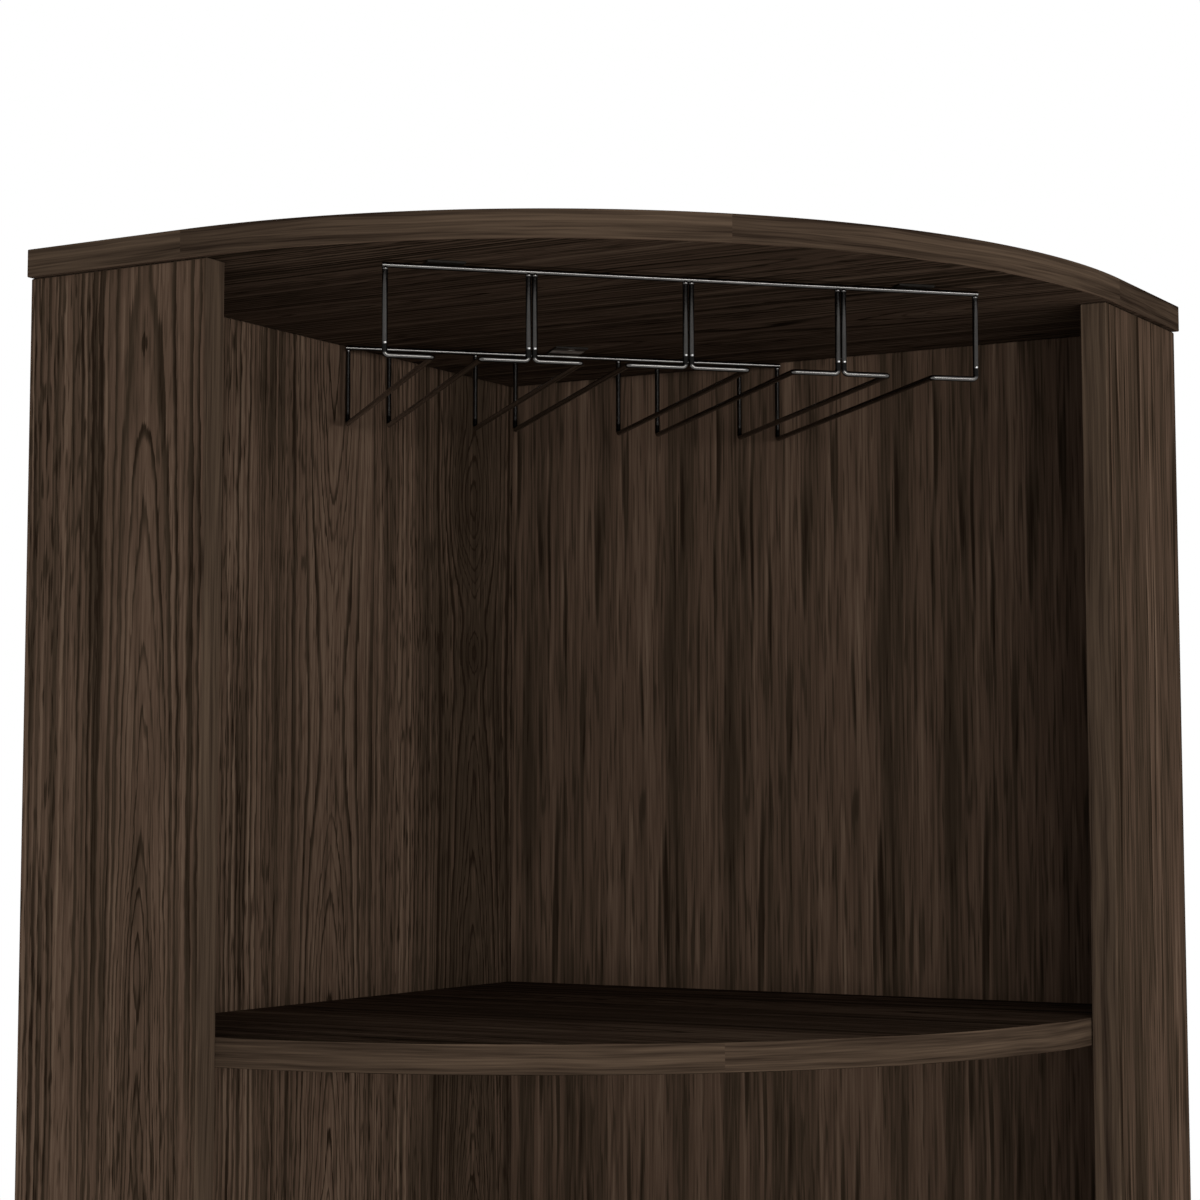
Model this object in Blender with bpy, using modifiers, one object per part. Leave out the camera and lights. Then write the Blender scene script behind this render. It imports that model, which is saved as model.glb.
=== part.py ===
"""Tall corner bar cabinet.

Laminated boards with a quarter-round front stand between two back panels, which meet in a square
corner, and two short side panels. From the top down: a bay with a wire rack for stemmed glasses, an
open bay with a counter, a slotted rack for bottles, and a cupboard with two doors.

Metres, +Z up. The front faces -Y and the back corner points to +Y. The origin lies on the floor, in
the middle of the footprint. Each side has two plan measures: "across" runs along its own wall from the
back corner, and "out" is the distance in front of that wall, both from the top board's back edges.
"""
from math import cos, pi, radians, sin, sqrt, tan

import bmesh
import bpy
from mathutils import Matrix, Vector

# Whole cabinet
HEIGHT = 1.800                # floor to the top surface
WALL_RUN = 0.470              # top board along each wall
SIDE_EDGE = 0.102             # straight side edge of the top board, before its arc starts
BOARD = 0.015                 # thickness of the laminated boards
OVERHANG = 0.003              # top board past the side panels' outer faces
SIDE_DEPTH = 0.117            # width of a side panel
BACK_BOARD = 0.018            # thickness of the back panels
EDGE_BREAK = 0.0006           # broken edges of the boards
SEAT = 0.0003                 # gap between pieces that touch
CUT_PAST = 0.004              # how far a cut runs past the face that it opens
ARC_STEPS = 40                # straight steps in a board's quarter round

# Heights of the bays, and what stands under them. The open bay takes the height that is left.
UPPER_CLEAR = 0.392           # bay with the glass rack
BOTTLE_CLEAR = 0.105          # one row of bottles
CUPBOARD_CLEAR = 0.600        # behind the doors
PLINTH_HEIGHT = 0.070
PLINTH_RECESS = 0.030         # plinth behind the doors' front faces
GLIDE_RADIUS = 0.007
GLIDE_HEIGHT = 0.003
GLIDE_EDGE = 0.0008           # rounded foot of a glide
GLIDE_INSET = 0.022           # glide from the free end of its panel
GLIDE_STEPS = 20

# Glass rack: two cross rails, and eight bent wires that make four channels
WIRE = 0.003                  # diameter of rails and hangers
RACK_FRONT = 0.4295           # front rail, forward of the back corner
RACK_REAR = 0.1695            # rear rail, forward of the back corner
RACK_DROP = 0.0464            # rail to the running wires
RACK_RIGHT = 0.002            # rack's middle right of the cabinet's
STEM_GAP = 0.025              # between the two running wires of a channel
LEDGE = 0.025                 # front leg to running wire
CENTRE_LEDGE = 0.031          # the same beside the middle of the rack
WIRE_BEND = 0.0022            # bend radius at the wire's middle
BEND_STEPS = 4
TAB_THICKNESS = 0.0009        # plates between the rails and the top board
TAB_WIDTH = 0.020
TAB_PAST = 0.005              # plate past its rail, away from its screw
TAB_REACH_REAR = 0.021        # rear plate forward of its rail
TAB_REACH_FRONT = 0.016       # front plates behind their rail
TAB_SPREAD = 0.128            # front plates from the middle
TAB_HOLE_RADIUS = 0.0017
TAB_HOLE_EDGE = 0.0038        # hole's middle from the plate's longer end

# Bottle rack: one shelf and three dividers, halved into each other
BOTTLE_PITCH = 0.118          # between dividers
BOTTLE_SETBACK = 0.015        # rack behind the curved edges of the boards
DIVIDER_GAP = 0.001           # rear end of a divider off the back panels

# Cupboard
DOOR_GAP = 0.002              # around each door
SHELF_RISE = 0.290            # loose shelf above the cupboard's floor
SHELF_SETBACK = 0.006         # loose shelf behind the doors
PIN_RADIUS = 0.0025           # shelf pins
PIN_REACH = 0.009             # part of a pin under the shelf
PIN_SUNK = 0.008              # part of a pin in its panel
PIN_CHAMFER = 0.0006          # at both ends of a pin
PIN_BEHIND_EDGE = 0.062       # pins on the side panels, behind the panels' front edges
PIN_BACK_ACROSS = 0.250       # pins on the back panels
PIN_HOLE_STEP = 0.032         # spare holes above and below each pin
PIN_STEPS = 14

HANDLE_SPAN = 0.128           # between the handle's feet
HANDLE_RISE = 0.030           # door face to the middle of the grip
HANDLE_BAR = 0.009            # grip's diameter
HANDLE_BEND = 0.012
HANDLE_FROM_EDGE = 0.034      # grip from the door's free edge
HANDLE_FROM_TOP = 0.150       # grip's middle from the door's top

HINGE_HEIGHT = 0.050
HINGE_INSET = 0.070           # hinge's middle from the door's end
KNUCKLES = 5
KNUCKLE_RADIUS = 0.0025
HINGE_PIN_RADIUS = 0.0011
HINGE_PIN_HEAD = 0.0021       # radius of the pin's head
HINGE_PIN_HEAD_HEIGHT = 0.0010
LEAF = 0.001                  # thickness of a hinge leaf
FRAME_LEAF_WIDTH = 0.021      # leaf on the side panel, from the pin
DOOR_LEAF_WIDTH = 0.0150      # leaf on the door's end, from the pin
LEAF_HOLE_RADIUS = 0.0016
LEAF_HOLE_SPREAD = 0.015      # screw holes from the hinge's middle
LEAF_HOLE_SHARE = 0.6         # screw holes along the leaf's width, from the pin
ROUND_STEPS = 14              # sides of small round parts

CATCH_WIDTH = 0.040
CATCH_DEPTH = 0.014
CATCH_HEIGHT = 0.013
CATCH_MOUTH = 0.004           # height of the slot between the magnet's plates
CATCH_MOUTH_DEPTH = 0.0015
CATCH_MOUTH_WIDTH = 0.030
CATCH_FROM_EDGE = 0.034       # catch's middle from the door's free edge
STRIKE_WIDTH = 0.034
STRIKE_HEIGHT = 0.011
STRIKE_THICKNESS = 0.001

# Plan
ROOT2 = sqrt(2)
SIDES = {"left": -1, "right": 1}
inner_run = WALL_RUN - OVERHANG - BOARD           # inner face of the side panels
top_arc = WALL_RUN - SIDE_EDGE
shelf_arc = inner_run - SEAT - SIDE_EDGE
depth = SIDE_EDGE * ROOT2 + top_arc               # back corner to the top's front
corner_y = depth / 2

# Levels
panel_foot = GLIDE_HEIGHT + SEAT
bottom_level = panel_foot + PLINTH_HEIGHT + SEAT
cupboard_floor = bottom_level + BOARD
cupboard_deck_level = cupboard_floor + CUPBOARD_CLEAR
bottle_floor = cupboard_deck_level + BOARD
bottle_shelf_level = bottle_floor + BOTTLE_CLEAR
counter_level = bottle_shelf_level + BOARD + BOTTLE_CLEAR
top_level = HEIGHT - BOARD
upper_shelf_level = top_level - UPPER_CLEAR - BOARD
panel_top = top_level - SEAT

# Hinge axis of a door: beside the frame leaf on the side panel's inner face, in front of its edge
axis_across = inner_run - SEAT - LEAF + KNUCKLE_RADIUS
axis_out = SIDE_DEPTH + SEAT + KNUCKLE_RADIUS
axis_x = (axis_across - axis_out) / ROOT2
axis_forward = (axis_across + axis_out) / ROOT2

# Doors
door_front = axis_forward - KNUCKLE_RADIUS - SEAT
door_rear = door_front - BOARD
door_end = axis_x - KNUCKLE_RADIUS - SEAT
door_foot = cupboard_floor + DOOR_GAP
door_head = cupboard_deck_level - DOOR_GAP
door_edge = DOOR_GAP / 2


def plan(side, across, out):
    """World x and y of a plan point, from its distances along and in front of that side's wall."""
    sign = SIDES[side]
    return Vector((sign * (across - out) / ROOT2, corner_y - (across + out) / ROOT2))


def ahead(x, forward):
    """World x and y of a plan point, from its distance forward of the back corner."""
    return Vector((x, corner_y - forward))


def across_turn(side):
    """Rotation about Z that points local +X along that side's wall, away from the back corner."""
    return radians(-45 if side == "right" else -135)


def collection(name):
    group = bpy.data.collections.new(name)
    bpy.context.scene.collection.children.link(group)
    return group


def finish(name, colour, roughness, metallic):
    material = bpy.data.materials.new(name)
    material.use_nodes = True
    shader = material.node_tree.nodes["Principled BSDF"]
    shader.inputs["Base Color"].default_value = (*colour, 1)
    shader.inputs["Roughness"].default_value = roughness
    shader.inputs["Metallic"].default_value = metallic
    material.diffuse_color = (*colour, 1)
    return material


def place(name, data, material, location=(0, 0, 0), turn=0):
    """Add a named piece to the cabinet's collection."""
    piece = bpy.data.objects.new(name, data)
    data.materials.append(material)
    piece.location = location
    piece.rotation_euler = (0, 0, turn)
    CABINET.objects.link(piece)
    return piece


def hide_cutter(cutter):
    cutter.hide_render = True
    cutter.display_type = "WIRE"
    CUTTERS.objects.link(cutter)
    return cutter


def mesh_from(bm, name):
    mesh = bpy.data.meshes.new(name)
    bm.to_mesh(mesh)
    bm.free()
    return mesh


def box_mesh(name, size, centre=(0, 0, 0)):
    bm = bmesh.new()
    bmesh.ops.create_cube(bm, size=1, matrix=Matrix.Translation(centre) @ Matrix.Diagonal((*size, 1)))
    return mesh_from(bm, name)


def cylinder_mesh(name, radius, bands, steps=ROUND_STEPS):
    """Upright cylinders on the local Z axis, one for each band of heights."""
    bm = bmesh.new()
    for low, high in bands:
        bmesh.ops.create_cone(bm, cap_ends=True, segments=steps, radius1=radius, radius2=radius,
                              depth=high - low, matrix=Matrix.Translation((0, 0, (low + high) / 2)))
    return mesh_from(bm, name)


def cut(piece, cutter, operation="DIFFERENCE"):
    modifier = piece.modifiers.new(cutter.name, "BOOLEAN")
    modifier.operation = operation
    modifier.solver = "EXACT"
    modifier.object = cutter


def break_edges(piece, width=EDGE_BREAK):
    modifier = piece.modifiers.new("broken_edges", "BEVEL")
    modifier.width = width
    modifier.segments = 1
    modifier.limit_method = "ANGLE"
    modifier.angle_limit = radians(30)


def round_shade(piece):
    piece.data.shade_smooth()
    piece.data.set_sharp_from_angle(angle=radians(40))
    return piece


def evaluated_mesh(piece):
    graph = bpy.context.evaluated_depsgraph_get()
    return bpy.data.meshes.new_from_object(piece.evaluated_get(graph))


def flat_outline(name, points, thickness):
    """Closed flat curve through plan points, as thick as a board."""
    curve = bpy.data.curves.new(name, "CURVE")
    curve.dimensions = "2D"
    curve.fill_mode = "BOTH"
    curve.extrude = thickness / 2
    spline = curve.splines.new("POLY")
    spline.points.add(len(points) - 1)
    for spline_point, point in zip(spline.points, points):
        spline_point.co = (point[0], point[1], 0, 1)
    spline.use_cyclic_u = True
    return curve


def outline_board(name, points, level, material, thickness=BOARD, edge=EDGE_BREAK):
    """Board cut to a flat outline, its underside at the given level."""
    drawn = bpy.data.objects.new(name + "_outline", flat_outline(name, points, thickness))
    drawn.location = (0, 0, level + thickness / 2)
    CABINET.objects.link(drawn)
    bpy.context.view_layer.update()
    mesh = evaluated_mesh(drawn)
    matrix = drawn.matrix_world.copy()
    bpy.data.objects.remove(drawn)

    bm = bmesh.new()
    bm.from_mesh(mesh)
    bpy.data.meshes.remove(mesh)
    bmesh.ops.remove_doubles(bm, verts=bm.verts, dist=SEAT / 10)
    bmesh.ops.dissolve_limit(bm, angle_limit=radians(0.1), verts=bm.verts, edges=bm.edges)
    bmesh.ops.recalc_face_normals(bm, faces=bm.faces)
    piece = place(name, mesh_from(bm, name), material)
    piece.matrix_world = matrix
    break_edges(piece, edge)
    return round_shade(piece)


def quarter_outline(back, radius):
    """Square at the back corner, straight at both ends, and a quarter round in front."""
    arc = [(SIDE_EDGE + radius * cos(angle), SIDE_EDGE + radius * sin(angle))
           for angle in (radians(90) * step / ARC_STEPS for step in range(ARC_STEPS + 1))]
    run = SIDE_EDGE + radius
    return [plan("left", across, out) for across, out in [(back, back), (run, back), *arc, (back, run)]]


def chord_outline(back, run, forward):
    """Square at the back corner, cut straight across the front."""
    out = forward * ROOT2 - run
    corners = [(back, back), (run, back), (run, out), (out, run), (back, run)]
    return [plan("left", across, out) for across, out in corners]


def wall_board(name, side, across, out, levels, material):
    """Upright board square to a wall, from its spans across, out and up."""
    size = (across[1] - across[0], out[1] - out[0], levels[1] - levels[0])
    spot = plan(side, sum(across) / 2, sum(out) / 2)
    piece = place(name, box_mesh(name, size), material, (*spot, sum(levels) / 2), across_turn(side))
    break_edges(piece)
    return piece


def front_board(name, x, forward, levels, material):
    """Upright board parallel to the front, from its spans in x, forward and up."""
    size = (x[1] - x[0], forward[1] - forward[0], levels[1] - levels[0])
    spot = ahead(sum(x) / 2, sum(forward) / 2)
    piece = place(name, box_mesh(name, size), material, (*spot, sum(levels) / 2))
    break_edges(piece)
    return piece


def rounded_path(corners, radius, steps):
    """Points along straight runs, with an arc of the given radius at each inner corner."""
    corners = [Vector(corner) for corner in corners]
    points = [corners[0]]
    for before, corner, after in zip(corners, corners[1:], corners[2:]):
        arriving = (before - corner).normalized()
        leaving = (after - corner).normalized()
        half = arriving.angle(leaving) / 2
        middle = corner + (arriving + leaving).normalized() * radius / sin(half)
        start = corner + arriving * radius / tan(half)
        normal = (start - middle).cross(-arriving).normalized()
        sweep = pi - 2 * half
        for step in range(steps + 1):
            turn = Matrix.Rotation(sweep * step / steps, 3, normal)
            points.append(middle + turn @ (start - middle))
    points.append(corners[-1])
    return points


def wire(name, points, diameter, material, resolution=2):
    """Round bar along a path, with closed ends."""
    curve = bpy.data.curves.new(name, "CURVE")
    curve.dimensions = "3D"
    curve.bevel_depth = diameter / 2
    curve.bevel_resolution = resolution
    curve.use_fill_caps = True
    spline = curve.splines.new("POLY")
    spline.points.add(len(points) - 1)
    for spline_point, point in zip(spline.points, points):
        spline_point.co = (*point, 1)
    return place(name, curve, material)


def turned(name, profile, steps, material):
    """Piece turned about local Z, from a profile that runs down its outer side from axis to axis."""
    mesh = bpy.data.meshes.new(name)
    mesh.from_pydata([(radius, 0, height) for radius, height in profile],
                     [(index, index + 1) for index in range(len(profile) - 1)], [])
    piece = place(name, mesh, material)
    lathe = piece.modifiers.new("lathe", "SCREW")
    lathe.axis = "Z"
    lathe.steps = lathe.render_steps = steps
    lathe.use_merge_vertices = True
    lathe.merge_threshold = SEAT / 10
    lathe.use_smooth_shade = True
    return piece


def build_case():
    """Boards and panels of the case, apart from the bottle rack."""
    outer = quarter_outline(0, top_arc)
    inner = quarter_outline(BACK_BOARD + SEAT, shelf_arc)
    outline_board("top_panel", outer, top_level, WALNUT)
    outline_board("upper_shelf", inner, upper_shelf_level, WALNUT)
    outline_board("counter_deck", inner, counter_level, WALNUT)
    outline_board("cupboard_deck", inner, cupboard_deck_level, WALNUT)
    outline_board("bottom_panel", inner, bottom_level, WALNUT)

    levels = (panel_foot, panel_top)
    inner_end = inner_run - SEAT
    panels = {}
    for side in SIDES:
        panels[side, "side"] = wall_board(f"{side}_side_panel", side, (inner_run, inner_run + BOARD),
                                          (0, SIDE_DEPTH), levels, WALNUT)
        start = 0 if side == "left" else BACK_BOARD + SEAT
        panels[side, "back"] = wall_board(f"{side}_back_panel", side, (start, inner_end),
                                          (0, BACK_BOARD), levels, WALNUT)

    front = door_front - PLINTH_RECESS
    rear = front - BOARD
    reach = inner_end * ROOT2
    mitred = [ahead(-(reach - front), front), ahead(reach - front, front),
              ahead(reach - rear, rear), ahead(-(reach - rear), rear)]
    outline_board("plinth_board", mitred, panel_foot, WALNUT, thickness=PLINTH_HEIGHT)
    return panels


def build_glides():
    middle = BACK_BOARD / 2
    spots = [plan("left", middle, middle)]
    for side in SIDES:
        spots.append(plan(side, inner_run + BOARD / 2, SIDE_DEPTH - GLIDE_INSET))
        spots.append(plan(side, inner_run - GLIDE_INSET, middle))
    profile = [(0, GLIDE_HEIGHT), (GLIDE_RADIUS, GLIDE_HEIGHT), (GLIDE_RADIUS, GLIDE_EDGE),
               (GLIDE_RADIUS - GLIDE_EDGE, 0), (0, 0)]
    for number, spot in enumerate(spots, 1):
        glide = turned(f"glide_{number}", profile, GLIDE_STEPS, GREY_PLASTIC)
        glide.location = (*spot, 0)


def build_glass_rack():
    rail_level = top_level - SEAT - TAB_THICKNESS - SEAT - WIRE / 2
    run_level = rail_level - RACK_DROP
    leg_top = rail_level - WIRE / 2 - SEAT
    pair = WIRE + SEAT

    # Leg and running wire of each hanger on the right half, from the middle outwards
    inner_leg = pair / 2
    inner_runs = (inner_leg + CENTRE_LEDGE, inner_leg + CENTRE_LEDGE + STEM_GAP)
    middle_leg = inner_runs[1] + LEDGE
    next_leg = middle_leg + pair
    outer_runs = (next_leg + LEDGE, next_leg + LEDGE + STEM_GAP)
    outer_leg = outer_runs[1] + LEDGE
    half = [(inner_leg, inner_runs[0]), (middle_leg, inner_runs[1]), (next_leg, outer_runs[0]),
            (outer_leg, outer_runs[1])]
    hangers = [(RACK_RIGHT - leg, RACK_RIGHT - run) for leg, run in reversed(half)]
    hangers += [(RACK_RIGHT + leg, RACK_RIGHT + run) for leg, run in half]

    for number, (leg, run) in enumerate(hangers, 1):
        corners = [(*ahead(leg, RACK_FRONT), leg_top), (*ahead(leg, RACK_FRONT), run_level),
                   (*ahead(run, RACK_FRONT), run_level), (*ahead(run, RACK_REAR), run_level),
                   (*ahead(run, RACK_REAR), leg_top)]
        wire(f"glass_wire_{number}", rounded_path(corners, WIRE_BEND, BEND_STEPS), WIRE, DARK_METAL)

    for name, forward, reach in (("rack_front_rail", RACK_FRONT, outer_leg),
                                 ("rack_rear_rail", RACK_REAR, outer_runs[1])):
        end = reach + WIRE / 2
        wire(name, [(*ahead(RACK_RIGHT - end, forward), rail_level),
                    (*ahead(RACK_RIGHT + end, forward), rail_level)], WIRE, DARK_METAL)

    tab_level = top_level - SEAT - TAB_THICKNESS / 2
    for name, x, rail, reach, way in (
            ("rack_tab_rear", 0, RACK_REAR, TAB_REACH_REAR, 1),
            ("rack_tab_front_left", -TAB_SPREAD, RACK_FRONT, TAB_REACH_FRONT, -1),
            ("rack_tab_front_right", TAB_SPREAD, RACK_FRONT, TAB_REACH_FRONT, -1)):
        tab = place(name, box_mesh(name, (TAB_WIDTH, reach + TAB_PAST, TAB_THICKNESS)), DARK_METAL,
                    (*ahead(x, rail + way * (reach - TAB_PAST) / 2), tab_level))
        hole = hide_cutter(bpy.data.objects.new(name + "_hole", cylinder_mesh(
            name + "_hole", TAB_HOLE_RADIUS, [(-CUT_PAST, CUT_PAST)])))
        hole.location = (*ahead(x, rail + way * (reach - TAB_HOLE_EDGE)), tab_level)
        cut(tab, hole)


def build_bottle_rack():
    """Egg-crate of one shelf, slotted from the front, and three dividers, slotted from the rear."""
    arc = shelf_arc - BOTTLE_SETBACK
    arc_middle = SIDE_EDGE * ROOT2
    shelf = outline_board("bottle_shelf", quarter_outline(BACK_BOARD + SEAT, arc),
                          bottle_shelf_level, WALNUT)
    levels = (bottle_floor + SEAT, counter_level - SEAT)
    slot_width = BOARD + 2 * SEAT
    slot_level = bottle_shelf_level + BOARD / 2
    for name, x in (("left", -BOTTLE_PITCH), ("centre", 0), ("right", BOTTLE_PITCH)):
        widest = abs(x) + BOARD / 2
        rear = BACK_BOARD * ROOT2 + widest + DIVIDER_GAP
        front = arc_middle + sqrt(arc ** 2 - widest ** 2)
        middle = (rear + front) / 2
        divider = front_board(f"bottle_divider_{name}", (x - BOARD / 2, x + BOARD / 2),
                              (rear, front), levels, WALNUT)

        rear_slot = hide_cutter(bpy.data.objects.new(f"{name}_divider_slot", box_mesh(
            "divider_slot", (BOARD + 2 * CUT_PAST, middle + SEAT / 2 - rear + CUT_PAST, slot_width))))
        rear_slot.location = (*ahead(x, (rear - CUT_PAST + middle + SEAT / 2) / 2), slot_level)
        cut(divider, rear_slot)

        past = depth + CUT_PAST
        front_slot = hide_cutter(bpy.data.objects.new(f"{name}_shelf_slot", box_mesh(
            "shelf_slot", (slot_width, past - middle + SEAT / 2, BOARD + 2 * CUT_PAST))))
        front_slot.location = (*ahead(x, (past + middle - SEAT / 2) / 2), slot_level)
        cut(shelf, front_slot)


def build_cupboard_shelf(panels):
    """Loose shelf on four pins, with spare holes above and below each pin."""
    level = cupboard_floor + SHELF_RISE
    outline = chord_outline(BACK_BOARD + SEAT, inner_run - SEAT, door_rear - SHELF_SETBACK)
    outline_board("cupboard_shelf", outline, level, WALNUT)

    pin_level = level - SEAT - PIN_RADIUS
    profile = [(0, PIN_REACH), (PIN_RADIUS - PIN_CHAMFER, PIN_REACH),
               (PIN_RADIUS, PIN_REACH - PIN_CHAMFER), (PIN_RADIUS, PIN_CHAMFER - PIN_SUNK),
               (PIN_RADIUS - PIN_CHAMFER, -PIN_SUNK), (0, -PIN_SUNK)]
    side_out = SIDE_DEPTH - PIN_BEHIND_EDGE
    number = 0
    for side in SIDES:
        turn = across_turn(side)
        out_of_side = Matrix.Rotation(turn, 4, "Z") @ Matrix.Rotation(radians(-90), 4, "Y")
        lean = radians(-90) if side == "left" else radians(90)
        out_of_back = Matrix.Rotation(turn, 4, "Z") @ Matrix.Rotation(lean, 4, "X")
        for kind, spot, facing in (("side", plan(side, inner_run, side_out), out_of_side),
                                   ("back", plan(side, PIN_BACK_ACROSS, BACK_BOARD), out_of_back)):
            number += 1
            pin = turned(f"shelf_pin_{number}", profile, PIN_STEPS, STEEL)
            pin.matrix_world = Matrix.Translation((*spot, pin_level)) @ facing
            bm = bmesh.new()
            for row in (-1, 0, 1):
                at = Matrix.Translation((*spot, pin_level + row * PIN_HOLE_STEP)) @ facing
                past = Matrix.Translation((0, 0, (CUT_PAST - PIN_SUNK - SEAT) / 2))
                bmesh.ops.create_cone(bm, cap_ends=True, segments=PIN_STEPS,
                                      radius1=PIN_RADIUS + SEAT, radius2=PIN_RADIUS + SEAT,
                                      depth=PIN_SUNK + SEAT + CUT_PAST, matrix=at @ past)
            name = f"{side}_{kind}_pin_holes"
            cut(panels[side, kind], hide_cutter(bpy.data.objects.new(name, mesh_from(bm, name))))


def knuckle_bands(first, spare):
    """Heights of every other knuckle, each longer by the spare at both ends."""
    pitch = HINGE_HEIGHT / KNUCKLES
    return [(-HINGE_HEIGHT / 2 + pitch * index - spare, -HINGE_HEIGHT / 2 + pitch * (index + 1) + spare)
            for index in range(first, KNUCKLES, 2)]


def leaf_mesh(name, width, first_knuckle, turn):
    """Hinge leaf around the pin's axis. Before its turn the leaf lies behind the pin, at +Y, flush
    with the knuckles on their +X side."""
    mid_plate = KNUCKLE_RADIUS - LEAF / 2
    plate = bpy.data.objects.new(name, box_mesh(name, (LEAF, width, HINGE_HEIGHT),
                                                (mid_plate, width / 2, 0)))
    CABINET.objects.link(plate)
    room = cylinder_mesh("knuckle_room", KNUCKLE_RADIUS + SEAT,
                         knuckle_bands(1 - first_knuckle, SEAT / 2))
    own = cylinder_mesh("knuckles", KNUCKLE_RADIUS, knuckle_bands(first_knuckle, -SEAT / 2))
    bore = cylinder_mesh("bore", HINGE_PIN_RADIUS + SEAT,
                         [(-HINGE_HEIGHT / 2 - CUT_PAST, HINGE_HEIGHT / 2 + CUT_PAST)])
    bm = bmesh.new()
    for height in (-LEAF_HOLE_SPREAD, LEAF_HOLE_SPREAD):
        spot = Matrix.Translation((mid_plate, width * LEAF_HOLE_SHARE, height))
        bmesh.ops.create_cone(bm, cap_ends=True, segments=ROUND_STEPS, radius1=LEAF_HOLE_RADIUS,
                              radius2=LEAF_HOLE_RADIUS, depth=LEAF + CUT_PAST,
                              matrix=spot @ Matrix.Rotation(radians(90), 4, "Y"))
    screw_holes = mesh_from(bm, "screw_holes")

    cutters = []
    for mesh, operation in ((room, "DIFFERENCE"), (own, "UNION"), (bore, "DIFFERENCE"),
                            (screw_holes, "DIFFERENCE")):
        cutters.append(hide_cutter(bpy.data.objects.new(mesh.name, mesh)))
        cut(plate, cutters[-1], operation)
    bpy.context.view_layer.update()
    mesh = evaluated_mesh(plate)
    mesh.transform(Matrix.Rotation(turn, 4, "Z"))
    for used in (plate, *cutters):
        bpy.data.objects.remove(used)
    return mesh


def mirrored(mesh, name):
    """Copy of a mesh, mirrored in X, with its faces still pointing out."""
    bm = bmesh.new()
    bm.from_mesh(mesh)
    bmesh.ops.scale(bm, vec=(-1, 1, 1), verts=bm.verts)
    bmesh.ops.reverse_faces(bm, faces=bm.faces)
    return mesh_from(bm, name)


def build_hinges(side, axis):
    """Two butt hinges: a leaf along the side panel's inner face, one on the door's end, and a pin."""
    leaves = {"frame": leaf_mesh("frame_leaf", FRAME_LEAF_WIDTH, 0, radians(45)),
              "door": leaf_mesh("door_leaf", DOOR_LEAF_WIDTH, 1, 0)}
    if side == "right":
        leaves = {kind: mirrored(mesh, f"right_{kind}_leaf") for kind, mesh in leaves.items()}
    for mesh in leaves.values():
        mesh.materials.append(STEEL)
    pin_top = HINGE_HEIGHT / 2 + SEAT
    profile = [(0, pin_top + HINGE_PIN_HEAD_HEIGHT), (HINGE_PIN_HEAD, pin_top + HINGE_PIN_HEAD_HEIGHT),
               (HINGE_PIN_HEAD, pin_top), (HINGE_PIN_RADIUS, pin_top),
               (HINGE_PIN_RADIUS, -HINGE_HEIGHT / 2), (0, -HINGE_HEIGHT / 2)]
    for row, level in (("lower", door_foot + HINGE_INSET), ("upper", door_head - HINGE_INSET)):
        spot = (*axis.location.xy, level)
        for kind, mesh in leaves.items():
            leaf = bpy.data.objects.new(f"{side}_{row}_hinge_{kind}_leaf", mesh)
            leaf.location = spot
            CABINET.objects.link(leaf)
            if kind == "door":
                hang(leaf, axis)
        pin = turned(f"{side}_{row}_hinge_pin", profile, ROUND_STEPS, STEEL)
        pin.location = spot


def hang(piece, axis):
    """Make a piece turn with a door's axis and stay where it is."""
    piece.parent = axis
    piece.matrix_parent_inverse = axis.matrix_world.inverted()


def build_door(side):
    sign = SIDES[side]
    axis = bpy.data.objects.new(f"{side}_door_axis", None)
    axis.location = (*ahead(sign * axis_x, axis_forward), (door_foot + door_head) / 2)
    CABINET.objects.link(axis)
    bpy.context.view_layer.update()

    span = sorted((sign * door_edge, sign * door_end))
    door = front_board(f"{side}_door", span, (door_rear, door_front), (door_foot, door_head), WALNUT)

    x = sign * (door_edge + HANDLE_FROM_EDGE)
    foot = door_front + SEAT
    grip = door_front + HANDLE_RISE
    high = door_head - HANDLE_FROM_TOP + HANDLE_SPAN / 2
    low = high - HANDLE_SPAN
    corners = [(*ahead(x, foot), low), (*ahead(x, grip), low), (*ahead(x, grip), high),
               (*ahead(x, foot), high)]
    handle = wire(f"{side}_handle", rounded_path(corners, HANDLE_BEND, BEND_STEPS), HANDLE_BAR,
                  DARK_METAL, resolution=3)

    x = sign * (door_edge + CATCH_FROM_EDGE)
    strike_level = cupboard_deck_level - SEAT - CATCH_HEIGHT / 2
    strike_name = f"{side}_strike"
    strike = place(strike_name, box_mesh(strike_name, (STRIKE_WIDTH, STRIKE_THICKNESS, STRIKE_HEIGHT)),
                   STEEL, (*ahead(x, door_rear - SEAT - STRIKE_THICKNESS / 2),
                           door_head - STRIKE_HEIGHT / 2 - SEAT))

    catch_front = door_rear - SEAT - STRIKE_THICKNESS - SEAT
    catch_name = f"{side}_catch"
    catch = place(catch_name, box_mesh(catch_name, (CATCH_WIDTH, CATCH_DEPTH, CATCH_HEIGHT)),
                  GREY_PLASTIC, (*ahead(x, catch_front - CATCH_DEPTH / 2), strike_level))
    break_edges(catch)
    mouth = hide_cutter(bpy.data.objects.new(f"{side}_catch_mouth", box_mesh(
        "catch_mouth", (CATCH_MOUTH_WIDTH, CATCH_MOUTH_DEPTH + CUT_PAST, CATCH_MOUTH))))
    mouth.location = (*ahead(x, catch_front + (CUT_PAST - CATCH_MOUTH_DEPTH) / 2), strike_level)
    cut(catch, mouth)

    for piece in (door, handle, strike):
        hang(piece, axis)
    build_hinges(side, axis)


for leftover in list(bpy.data.objects):
    bpy.data.objects.remove(leftover)

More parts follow.
